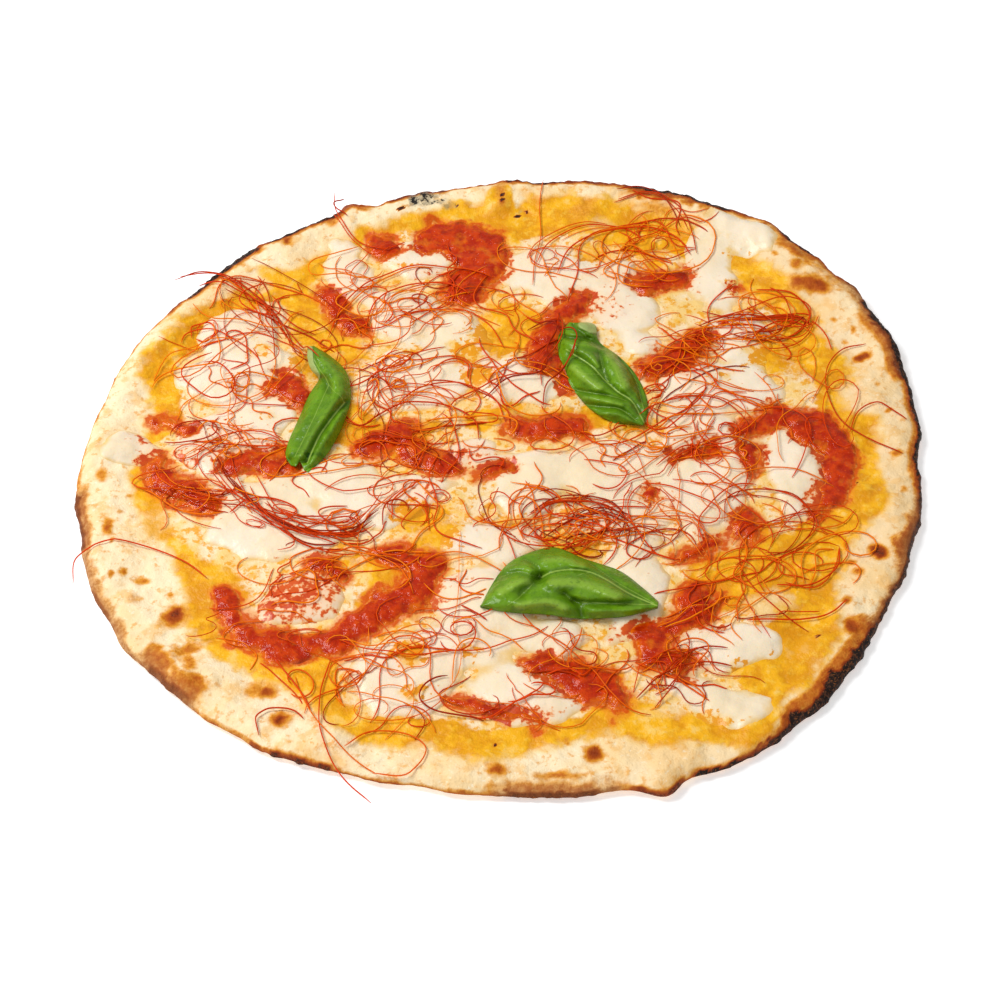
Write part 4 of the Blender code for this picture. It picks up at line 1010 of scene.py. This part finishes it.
def make_basil_look():
    """Fresh basil: waxy green blade with painted shade in its valleys, painted highlights on its ridges
    and along its side edges, pale veins and a pale underside where a lobe has folded over."""
    look = Look(
        "fresh_basil", wide=(11.0, 3.0, 0.55), pucker=(3.2, 2.0, 0.55), fine=(1.2, 3.0, 0.55))
    mask = look.mask
    colour = look.paint(
        "#3A6400",
        (mask("wide", 0.36, 0.64), "#5C8A02"),
        (mask("pucker", 0.52, 0.70, 0.5), "#719C14"),
        # painted shade: deep green laid into the valleys of the folds
        (mask("valley", 0.05, 0.9, 0.92), "#1D4200"),
        # painted highlight: pale yellow-green laid on the raised folds
        (mask("crest", 0.4, 1.0, 0.6), "#9CBC48"),
        # painted highlight: lighter green along the blade's side edges
        (mask("rim", 0.3, 1.0, 0.3), "#7BA81C"),
        (mask("fine", 0.56, 0.68, 0.35), "#2A5200"),
        (mask("vein", 0.3, 0.9, 0.75), "#A2BE55"),
        (look.value("pale"), "#A0B468"))
    relief = ((look.value("pucker"), 0.7, 0.8), (look.value("fine"), 0.15, 0.7))
    return look.finish(colour, relief, rough=0.3, shine=0.28)


def make_thread_look():
    """Dried chilli cut to threads: orange where thin, red, and dark red where thick."""
    look = Look("dried_chilli_threads", patch=(5.0, 2.0, 0.55))
    mask = look.mask
    colour = look.paint(
        "#F88404",
        (mask("tone", 0.0, 0.5), "#DE4200"),
        (mask("tone", 0.5, 1.1), "#8E1C00"),
        (mask("patch", 0.55, 0.75, 0.35), "#BA2E00"))
    return look.finish(colour, rough=0.4, shine=0.1)


# Crust


def degrees_off(degrees, middle):
    """Smallest turn from one angle to another, in degrees."""
    return (degrees - middle + 180) % 360 - 180


def rim_spots(degrees, inset, spots, softness):
    """Strength of a set of soft spots given by angle and inset."""
    total = np.zeros_like(inset)
    along = math.pi / 180 * (MEAN_RADIUS - inset)
    for middle, depth, length, width, strength in spots:
        off = degrees_off(degrees, middle) * along
        reach = np.hypot(off / length, (inset - depth) / width)
        total = np.maximum(total, strength * smooth((1.0 + softness - reach) / (2 * softness)))
    return total


def measured_place(x, y):
    """Plan place at which a mark on the dough was measured, along the line of sight, on a rim
    without bumps."""
    angle, inset = edge_inset(x, y)
    plain = 0.8 + 3.5 * np.clip(inset / 6.0, 0.0, 1.0) - 1.5 * np.clip((inset - 8.0) / 14.0, 0.0, 1.0)
    above = dough_top(x, y) - rim_lift(angle, inset) - plain
    return x, y + SIGHT_SLOPE * above * smooth(inset / 2.0)


def toasting(x, y):
    """How far the dough is browned, from 0 to 1, at plan points."""
    x, y = measured_place(x, y)
    angle, inset = edge_inset(x, y)
    degrees = np.degrees(angle) + 1.2 * cloud(x, y, 8.0, 59)
    waver = 1.0 + 0.22 * cloud(x, y, 6.0, 51) + 0.16 * cloud(x, y, 2.4, 53, 2)
    toast = (0.44 + 0.16 * cloud(x, y, 5.0, 55, 2)) * smooth((1.3 * waver - inset) / 0.9)
    for start, end, width, dark in TOAST:
        half = (end - start) / 2
        off = np.abs(degrees_off(degrees - start, half)) - half
        along = smooth(1.0 - off / 2.0)
        depth = smooth((width * waver - inset + 0.4) / (0.45 * width + 0.9))
        toast = np.maximum(toast, dark * along * depth)
        if dark > 0.65:
            fringe = smooth((width + 2.6 * waver - inset) / 2.6)
            toast = np.maximum(toast, 0.5 * along * fringe)
    wx, wy = warped(x, y, 0.8, 3.0, 57)
    bent, bent_inset = edge_inset(wx, wy)
    toast = np.maximum(toast, rim_spots(np.degrees(bent), bent_inset, SPOTS, 0.75))
    specks = [(middle, depth, radius, radius, SPECK_DARK) for middle, depth, radius in SPECKS]
    return np.maximum(toast, rim_spots(degrees, inset, specks, 0.4))


def around(rows, degrees):
    """A value given at some angles, at any angle in degrees."""
    rows = np.array(rows, float)
    return np.interp(degrees % 360, rows[:, 0], rows[:, 1], period=360)


def dough_oil(x, y):
    """How oily the dough is, from 0 to 1, at plan points."""
    x, y = measured_place(x, y)
    angle, inset = edge_inset(x, y)
    start = around(OIL_BORDER, np.degrees(angle))
    waver = 1.8 * cloud(x, y, 7.0, 61) + 0.9 * cloud(x, y, 2.6, 63, 2)
    oil = smooth((inset - start + waver) / 9.0 + 0.5)
    return oil * (1.0 - spots_at(x, y, PALE, 0.6))


def milky(x, y):
    """How far thin melted cheese has run over the dough between the thick lobes."""
    lobes = mozzarella_reach(x, y, np.full_like(x, -1e3))
    milk = smooth((lobes + 9.0 + 2.0 * cloud(x, y, 8.0, 65)) / 6.0)
    angle, inset = edge_inset(x, y)
    border, band = (around(rows, np.degrees(angle)) for rows in (OIL_BORDER, OIL_BAND))
    milk *= smooth((inset - border - band + 3.0 * cloud(x, y, 9.0, 67)) / 5.0)
    return milk * (1.0 - 0.8 * np.minimum(spots_at(x, y, OIL, 0.8), 1.0))


def spots_at(x, y, spots, softness):
    """Strength of a set of soft ellipses in the plan."""
    total = np.zeros_like(x)
    for spot in spots:
        reach = ellipse_reach(x, y, spot) / min(spot[2], spot[3])
        total = np.maximum(total, spot[5] * smooth((reach + softness) / (2 * softness)))
    return total


def square_to_disc(u, v):
    """Angle and share of the radius for a point of the square from -1 to 1."""
    share = np.maximum(np.abs(u), np.abs(v))
    safe = np.maximum(share, 1e-9)
    wide = np.abs(u) >= np.abs(v)
    quarter = math.pi / 4
    angle = np.where(
        wide,
        quarter * v / safe * np.sign(u) + np.where(u < 0, math.pi, 0.0),
        math.pi / 2 * np.sign(v) - quarter * u / safe * np.sign(v))
    return angle, share


def make_crust():
    """The whole crust: a fine top, a crumbly edge turned under, and a plain closed underside."""
    crust = new_grid("baked_crust", CRUST_CELLS, CRUST_CELLS, 2.0, 2.0)
    points = read_points(crust)
    angle, share = square_to_disc(points[:, 0], points[:, 1])
    share = share * (1.30 - 0.30 * share)
    radius = edge_radius(angle) * share
    x = radius * np.cos(angle)
    y = radius * np.sin(angle)
    toast = toasting(x, y)
    crumble = (0.3 + 0.7 * smooth((toast - 0.4) / 0.4)) * smooth((share - 0.93) / 0.05)
    points[:, 2] = dough_top(x, y) + 0.45 * crumble * cloud(x, y, 1.9, 27, 2)
    push = 1.0 + crumble * cloud(x, y, 2.6, 25, 2) * 0.42 / MEAN_RADIUS
    points[:, 0] = x * push
    points[:, 1] = y * push
    write_points(crust, points)
    turn_under(crust)
    points = read_points(crust)
    x, y = points[:, 0], points[:, 1]
    inset = edge_inset(x, y)[1]
    under = np.zeros(len(points))
    below = points[:, 2] < dough_bottom(x, y) + 0.4
    under[below] = smooth((inset[below] - 1.0) / 3.0)
    toast = toasting(x, y)
    wall = smooth((dough_top(x, y) - points[:, 2] - 0.6) / 1.2) * (1.0 - under)
    toast += wall * (0.30 * cloud(x + y, 3.0 * points[:, 2] + x - y, 9.0, 58) - 0.10)
    bent_angle, bent_inset = edge_inset(*measured_place(x, y))
    floury = np.full_like(x, 0.25)
    for start, end in FLOURY:
        off = np.abs(degrees_off(np.degrees(bent_angle), (start + end) / 2))
        floury = np.maximum(floury, smooth((end - start) / 4 + 0.5 - off / 2))
    store(
        crust, under=under, toast=toast, oil=dough_oil(x, y), milk=milky(x, y),
        # Darker towards the right side: painted shade for the light's fall-off, and partly heavier
        # baking
        bake=0.5 + 0.5 * np.cos(np.arctan2(y, x)) + 0.35 * cloud(x, y, 20.0, 29),
        stain=smooth(1.0 + sauce_reach(x, y) / 4.5),
        ash=rim_spots(np.degrees(bent_angle), bent_inset, ASH, 0.8),
        outer=floury * smooth(1.0 - bent_inset / 9.0))
    return settle(crust)


def turn_under(crust):
    """Carries the open edge round and under the rim, and closes the underside."""
    select_only(crust)
    bpy.ops.object.mode_set(mode="EDIT")
    bpy.ops.mesh.select_mode(type="EDGE")
    bpy.ops.mesh.select_all(action="DESELECT")
    bpy.ops.mesh.select_non_manifold()
    for inset in UNDERSIDE_INSETS:
        bpy.ops.mesh.extrude_edges_move()
        bpy.ops.object.mode_set(mode="OBJECT")
        points = read_points(crust)
        picked = np.empty(len(points), bool)
        crust.data.vertices.foreach_get("select", picked)
        angle = np.arctan2(points[picked, 1], points[picked, 0])
        radius = edge_radius(angle) - inset
        points[picked, 0] = radius * np.cos(angle)
        points[picked, 1] = radius * np.sin(angle)
        points[picked, 2] = dough_bottom(points[picked, 0], points[picked, 1])
        write_points(crust, points)
        bpy.ops.object.mode_set(mode="EDIT")
    bpy.ops.mesh.edge_face_add()
    bpy.ops.mesh.poke()
    bpy.ops.object.mode_set(mode="OBJECT")


# Cheese and sauce


def make_film(name, cell, reach_at, rise_at, numbers_at):
    """A melted layer: its top follows its own rise, its underside lies on the dough."""
    cells = int(FILM_SPAN / cell)
    film = new_grid(name, cells, cells, FILM_SPAN, FILM_SPAN)
    points = read_points(film)
    keep_faces(film, reach_at(points[:, 0], points[:, 1]) > FILM_KEPT)
    points = read_points(film)
    x, y = points[:, 0], points[:, 1]
    reach = reach_at(x, y)
    points[:, 2] = dough_top(x, y) + rise_at(x, y, reach)
    write_points(film, points)
    store(film, thin=np.exp(-np.maximum(reach, 0.0) / 2.2), **numbers_at(x, y))
    count = len(points)
    thicken(film, FILM_WALL)
    points = read_points(film)
    low = points[count:]
    low[:, :2] = points[:count, :2]
    bed = dough_top(low[:, 0], low[:, 1]) - FILM_SUNK
    low[:, 2] = np.minimum(points[:count, 2] - FILM_THINNEST, bed)
    write_points(film, points)
    return settle(film)


def make_mozzarella():
    def reach_at(x, y):
        return mozzarella_reach(x, y, sauce_reach(x, y))

    def numbers_at(x, y):
        near = smooth(1.0 + sauce_reach(x, y) / 5.0)
        stain = np.maximum(0.85 * near, spots_at(x, y, STAINS, 0.9))
        return {"stain": stain, "oil": spots_at(x, y, OIL, 0.9)}

    return make_film("melted_mozzarella", MOZZARELLA_CELL, reach_at, mozzarella_rise, numbers_at)


def make_sauce():
    return make_film("tomato_sauce", SAUCE_CELL, sauce_reach, sauce_rise, lambda x, y: {})


# Basil


def curve_through(points, count):
    """Points evenly spread in share along a smooth curve through the given ones."""
    knots = np.array(points, float)
    knots = np.vstack([2 * knots[0] - knots[1], knots, 2 * knots[-1] - knots[-2]])
    place = np.linspace(0, len(points) - 1, count)
    first = np.minimum(place.astype(int), len(points) - 2)
    t = (place - first)[:, None]
    p, a, b, n = (knots[first + step] for step in range(4))
    return 0.5 * (2 * a + (b - p) * t + (2 * p - 5 * a + 4 * b - n) * t ** 2
                  + (3 * a - p - 3 * b + n) * t ** 3)


LEAF_HIGH = np.full_like(TOP_MAP, -1e3)
LEAF_LOW = np.full_like(TOP_MAP, 1e3)


def note_leaf(points):
    """Keeps the top and the underside of a leaf for the threads that lie by it."""
    i = np.round((points[:, 0] + MAP_HALF) / MAP_CELL).astype(int)
    j = np.round((points[:, 1] + MAP_HALF) / MAP_CELL).astype(int)
    np.maximum.at(LEAF_HIGH, (i, j), points[:, 2])
    np.minimum.at(LEAF_LOW, (i, j), points[:, 2] - LEAF_THICKNESS)


def leaf_over(x, y):
    """Top and underside of the leaf at plan points, far off where there is none."""
    i = np.clip(np.round((x + MAP_HALF) / MAP_CELL).astype(int), 0, LEAF_HIGH.shape[0] - 1)
    j = np.clip(np.round((y + MAP_HALF) / MAP_CELL).astype(int), 0, LEAF_HIGH.shape[1] - 1)
    return LEAF_HIGH[i, j], LEAF_LOW[i, j]


def make_leaf(name, leaf):
    """A thin blade between its two edges, domed, folded and veined."""
    piece = new_grid(name + "_blade", LEAF_COLUMNS, LEAF_ROWS, 1.0, 2.0)
    points = read_points(piece)
    along = points[:, 0] + 0.5
    side = points[:, 1]
    steps = np.round(along * LEAF_COLUMNS).astype(int)
    left = curve_through(leaf["edges"][0], LEAF_COLUMNS + 1)[steps]
    right = curve_through(leaf["edges"][1], LEAF_COLUMNS + 1)[steps]
    share = (side[:, None] + 1) / 2
    flat = left * (1 - share) + right * share
    x, y = flat[:, 0], flat[:, 1]
    if leaf["notch"]:
        middle, half, deep = leaf["notch"]
        y += deep * np.exp(-((side - middle) / half) ** 2) * smooth((along - 0.88) / 0.12)
    dome = (1 - np.abs(side) ** 2.4) * np.sin(math.pi * (0.08 + 0.84 * along)) ** 0.8
    ends = np.interp(along, (0.0, 0.5, 1.0), leaf["rise"])
    wave = 0.35 * np.sin(math.tau * 3.3 * along + 2.0 * side) * np.abs(side) ** 3
    height = leaf["crown"] * dome + ends + wave + 0.35 * cloud(x, y, 7.0, 71, 2)
    height += 0.16 * cloud(x, y, 3.0, 73, 2)
    # Where painted shade (sinking folds) and painted highlight (rising folds) go on the blade
    valley = np.zeros_like(x)
    crest = np.zeros_like(x)
    for *line, width, depth in leaf["folds"]:
        gap = line_gap(x, y, curve_through(line, 24), (0.0, 0.0)) / width
        height += depth * np.exp(-gap ** 2)
        share_of = min(1.0, abs(depth) / 1.5) * np.exp(-(gap / 0.9) ** 2)
        if depth < 0:
            valley = np.maximum(valley, share_of)
        else:
            crest = np.maximum(crest, share_of)
    vein = np.zeros_like(x)
    for number, line in enumerate(leaf["veins"]):
        half, strength = (MIDRIB_HALF, 1.0) if number == 0 else (VEIN_HALF, VEIN_SHARE)
        gap = line_gap(x, y, curve_through(line, 24), (0.0, 0.0))
        vein = np.maximum(vein, np.exp(-(gap / half) ** 2) * strength)
    height += VEIN_RELIEF * vein
    pale = np.zeros_like(x)
    if leaf["pale"]:
        *line, half = leaf["pale"]
        pale = smooth((1.25 - line_gap(x, y, line, (0.0, 0.0)) / half) / 0.3)
        height += 0.7 * pale
    bed = top_at(x + TOPPING_OFFSET[0], y + TOPPING_OFFSET[1])
    z = np.maximum(np.percentile(bed, 60) + height, bed + LEAF_CLEARANCE)
    points[:, 0] = x + TOPPING_OFFSET[0]
    points[:, 1] = y + TOPPING_OFFSET[1] - SIGHT_SLOPE * (z - SIGHT_LEVEL)
    points[:, 2] = np.maximum(z, top_at(points[:, 0], points[:, 1]) + LEAF_CLEARANCE)
    write_points(piece, points)
    note_leaf(points)
    # Painted highlight along the blade's side edges
    rim = smooth((np.abs(side) - 0.82) / 0.18)
    store(piece, vein=vein, valley=valley, crest=crest, rim=rim, pale=pale)
    face_up(piece)
    thicken(piece, LEAF_THICKNESS)
    return settle(piece)


def face_up(piece):
    """Turns an open sheet so that its faces look up."""
    mesh = piece.data
    up = np.empty(len(mesh.polygons) * 3)
    mesh.polygons.foreach_get("normal", up)
    if up.reshape(-1, 3)[:, 2].mean() < 0:
        select_only(piece)
        bpy.ops.object.mode_set(mode="EDIT")
        bpy.ops.mesh.select_all(action="SELECT")
        bpy.ops.mesh.flip_normals()
        bpy.ops.object.mode_set(mode="OBJECT")


# Chilli threads


def curl(draw, reach, points, lively):
    """A curling flat line of a given length about its middle, in mm."""
    share = np.linspace(-0.5, 0.5, points)
    bend = reach / np.clip(draw.lognormal(math.log(CURL_RADIUS), 0.6), 4.5, 120.0) * lively
    bend *= draw.choice((-1.0, 1.0))
    ways = bend * share + bend * draw.uniform(-0.9, 0.9) * share ** 2 * 2.0
    sway = draw.normal(0.0, 0.4)
    ways += sway * np.sin(math.tau * (share * draw.uniform(1.0, 2.4)) + draw.uniform(0, 6))
    ways += draw.normal(0.0, 0.6) * smooth((share - draw.uniform(-0.35, 0.35)) / 0.08)
    ways += draw.uniform(0.0, math.tau)
    step = reach / (points - 1)
    line = np.stack([np.cumsum(np.cos(ways)), np.cumsum(np.sin(ways))], axis=1) * step
    return line - line.mean(axis=0)


def cluster_routes(draw):
    """Plan routes of the loose threads, with a tone, an arch, a width and a level for each."""
    routes = []
    for x, y, length, width, turn, number, mean, dark in CLUSTERS:
        angle = math.radians(turn)
        squeeze = (width / length) ** 0.6
        for _ in range(int(round(number * THREAD_SHARE))):
            reach = mean * THREAD_STRETCH * draw.lognormal(-0.05, 0.40)
            line = curl(draw, reach, THREAD_POINTS, 0.6 + 0.4 * squeeze)
            along = line[:, 0] + draw.normal(0.0, 0.45) * length
            across = line[:, 1] * squeeze + draw.normal(0.0, 0.45) * width
            route = np.stack([
                x + along * math.cos(angle) - across * math.sin(angle),
                y + along * math.sin(angle) + across * math.cos(angle)], axis=1)
            inside = edge_inset(*route.T)[1].min() - THREAD_INSET
            route += min(inside, 0.0) * route.mean(axis=0) / np.hypot(*route.mean(axis=0))
            tone = np.clip(dark * 0.62 + draw.normal(0.0, 0.28), 0.0, 1.0)
            routes.append((
                route, tone, draw.exponential(0.5), draw.uniform(0.62, 1.25), draw.exponential(0.25),
                False))
    return routes


def strand_routes(draw):
    """The threads that stand out, each with its number of loose fellows beside it."""
    routes = []
    for points, dark, fellows in STRANDS:
        line = curve_through(points, 3 * STRAND_POINTS)
        routes.append((line[::3], dark, draw.exponential(0.4), draw.uniform(0.95, 1.25), 0.5, True))
        for _ in range(fellows):
            start = int(draw.uniform(0.0, 0.35) * len(line))
            end = int(draw.uniform(0.65, 1.0) * len(line))
            picked = line[np.linspace(start, end - 1, STRAND_POINTS).astype(int)]
            middle = picked.mean(axis=0)
            turn = draw.normal(0.0, 0.24)
            off = (picked - middle) * draw.uniform(0.8, 1.2)
            sway = np.sin(np.linspace(0.0, draw.uniform(2.0, 6.0), STRAND_POINTS) + draw.uniform(0, 6))
            off += sway[:, None] * draw.normal(0.0, 1.3, 2)
            bent = np.stack([
                off[:, 0] * math.cos(turn) - off[:, 1] * math.sin(turn),
                off[:, 0] * math.sin(turn) + off[:, 1] * math.cos(turn)], axis=1)
            tone = np.clip(dark + draw.normal(-0.1, 0.2), 0.0, 1.0)
            routes.append((
                middle + bent + draw.normal(0.0, 2.4, 2), tone, draw.exponential(0.5),
                draw.uniform(0.7, 1.15), draw.uniform(0.0, 0.8), True))
    return routes


def thread_tube(route, arch, width, level, over):
    """Points of one thread laid over the toppings, and over or under the leaves."""
    x = route[:, 0] + TOPPING_OFFSET[0]
    y = route[:, 1] + TOPPING_OFFSET[1]
    count = len(route)
    leaf = leaf_over(x, y)
    bed = top_at(x, y)
    if over:
        bed = np.maximum(bed, leaf[0] + THREAD_OVER_LEAF)
    eased = bed.copy()
    for _ in range(3):
        padded = np.concatenate([eased[:1], eased, eased[-1:]])
        eased = np.maximum(eased, (padded[:-2] + padded[2:]) / 2)
    share = np.linspace(0.0, 1.0, count)
    radius = THREAD_RADIUS * width * np.clip(np.minimum(share, 1 - share) * 10 + 0.4, 0.0, 1.0)
    z = eased + level + arch * np.sin(math.pi * share) + radius
    if not over:
        z = np.minimum(z, leaf[1] - THREAD_UNDER_LEAF - 2 * radius)
    path = np.stack([x, y, z], axis=1)
    ahead = np.gradient(path, axis=0)
    ahead /= np.maximum(np.linalg.norm(ahead, axis=1), 1e-6)[:, None]
    out = np.stack([-ahead[:, 1], ahead[:, 0], np.zeros(count)], axis=1)
    out /= np.maximum(np.linalg.norm(out, axis=1), 1e-6)[:, None]
    up = np.cross(ahead, out)
    rings = []
    for side in range(THREAD_SIDES):
        angle = math.tau * (side + 0.5) / THREAD_SIDES
        rings.append(path + radius[:, None] * (math.cos(angle) * out + math.sin(angle) * up))
    return np.stack(rings, axis=1).reshape(-1, 3)


def tube_faces(count, start):
    """Faces of a tube of rings, closed at both ends."""
    ring = np.arange(count - 1)[:, None] * THREAD_SIDES
    side = np.arange(THREAD_SIDES)[None, :]
    after = (side + 1) % THREAD_SIDES
    a = ring + side
    b = ring + after
    quads = np.stack([a, b, b + THREAD_SIDES, a + THREAD_SIDES], axis=2).reshape(-1, 4)
    last = (count - 1) * THREAD_SIDES
    caps = np.array([[3, 2, 1, 0], [last, last + 1, last + 2, last + 3]])
    return np.vstack([quads, caps]) + start


def make_threads():
    """All threads as one mesh, made from arrays."""
    draw = np.random.default_rng(THREAD_SEED)
    routes = cluster_routes(draw) + strand_routes(draw)
    points = []
    faces = []
    tones = []
    total = 0
    for route, tone, arch, width, level, over in routes:
        tube = thread_tube(route, arch, width, level, over)
        faces.append(tube_faces(len(route), total))
        points.append(tube)
        tones.append(np.full(len(tube), tone))
        total += len(tube)
    mesh = bpy.data.meshes.new("chilli_thread_tangles")
    mesh.from_pydata(np.vstack(points), [], np.vstack(faces))
    piece = bpy.data.objects.new("chilli_thread_tangles", mesh)
    bpy.context.scene.collection.objects.link(piece)
    store(piece, tone=np.concatenate(tones))
    return settle(piece)


# Stage, light and camera


def make_stage():
    deselect_all()
    bpy.ops.mesh.primitive_plane_add(size=FLOOR_SIZE, location=(0.0, 0.0, FLOOR_LEVEL))
    floor = bpy.context.object
    floor.name = "floor"
    floor.data.materials.append(Look("plain_white_floor").finish(
        "#F4F4F4", rough=0.9, glow="#FFFFFF", glow_strength=FLOOR_GLOW))


def make_light():
    """Soft light from the left and a little behind, with an even pale surround."""
    world = bpy.data.worlds.new("plain_studio")
    bpy.context.scene.world = world
    world.use_nodes = True
    sky = world.node_tree.nodes["Background"]
    sky.inputs["Color"].default_value = linear("#FFFFFF")
    sky.inputs["Strength"].default_value = SKY_STRENGTH
    for name, place, size, power in LIGHTS:
        deselect_all()
        bpy.ops.object.light_add(type="AREA", location=place)
        light = bpy.context.object
        light.name = name
        light.data.size = size
        light.data.energy = power
        light.rotation_euler = (-Vector(place)).to_track_quat("-Z", "Y").to_euler()


def make_camera():
    elevation = math.radians(CAMERA_ELEVATION)
    roll = math.radians(CAMERA_ROLL)
    back = Vector((0.0, -math.cos(elevation), math.sin(elevation)))
    right = Vector((1.0, 0.0, 0.0))
    up = back.cross(right)
    side = right * math.cos(roll) + up * math.sin(roll)
    above = up * math.cos(roll) - right * math.sin(roll)
    aim = Vector((CAMERA_AIM[0] - MIDDLE[0], CAMERA_AIM[1] - MIDDLE[1], CAMERA_AIM[2])) * MM
    place = aim + back * CAMERA_DISTANCE * MM
    deselect_all()
    bpy.ops.object.camera_add()
    camera = bpy.context.object
    camera.data.lens = CAMERA_LENS
    camera.data.sensor_width = CAMERA_SENSOR
    camera.matrix_world = Matrix((
        (side.x, above.x, back.x, place.x),
        (side.y, above.y, back.y, place.y),
        (side.z, above.z, back.z, place.z),
        (0.0, 0.0, 0.0, 1.0)))
    bpy.context.scene.camera = camera


def build():
    """Camera, light and floor, then each piece with its material and the CAD nodes it stands for."""
    make_camera()
    make_light()
    make_stage()
    finish_piece(make_crust(), make_dough_look(), "baked_dough", "crust")
    finish_piece(
        make_mozzarella(), make_mozzarella_look(), "melted_mozzarella",
        *nodes_named("mozzarella"))
    finish_piece(make_sauce(), make_sauce_look(), "tomato_sauce", *nodes_named("tomato_sauce"))
    basil = make_basil_look()
    for name, leaf in BASIL.items():
        finish_piece(make_leaf(name, leaf), basil, "basil_leaf", name)
    finish_piece(make_threads(), make_thread_look(), "dried_chilli", *nodes_named("chilli"))
    bpy.context.scene.view_settings.view_transform = "Standard"


build()
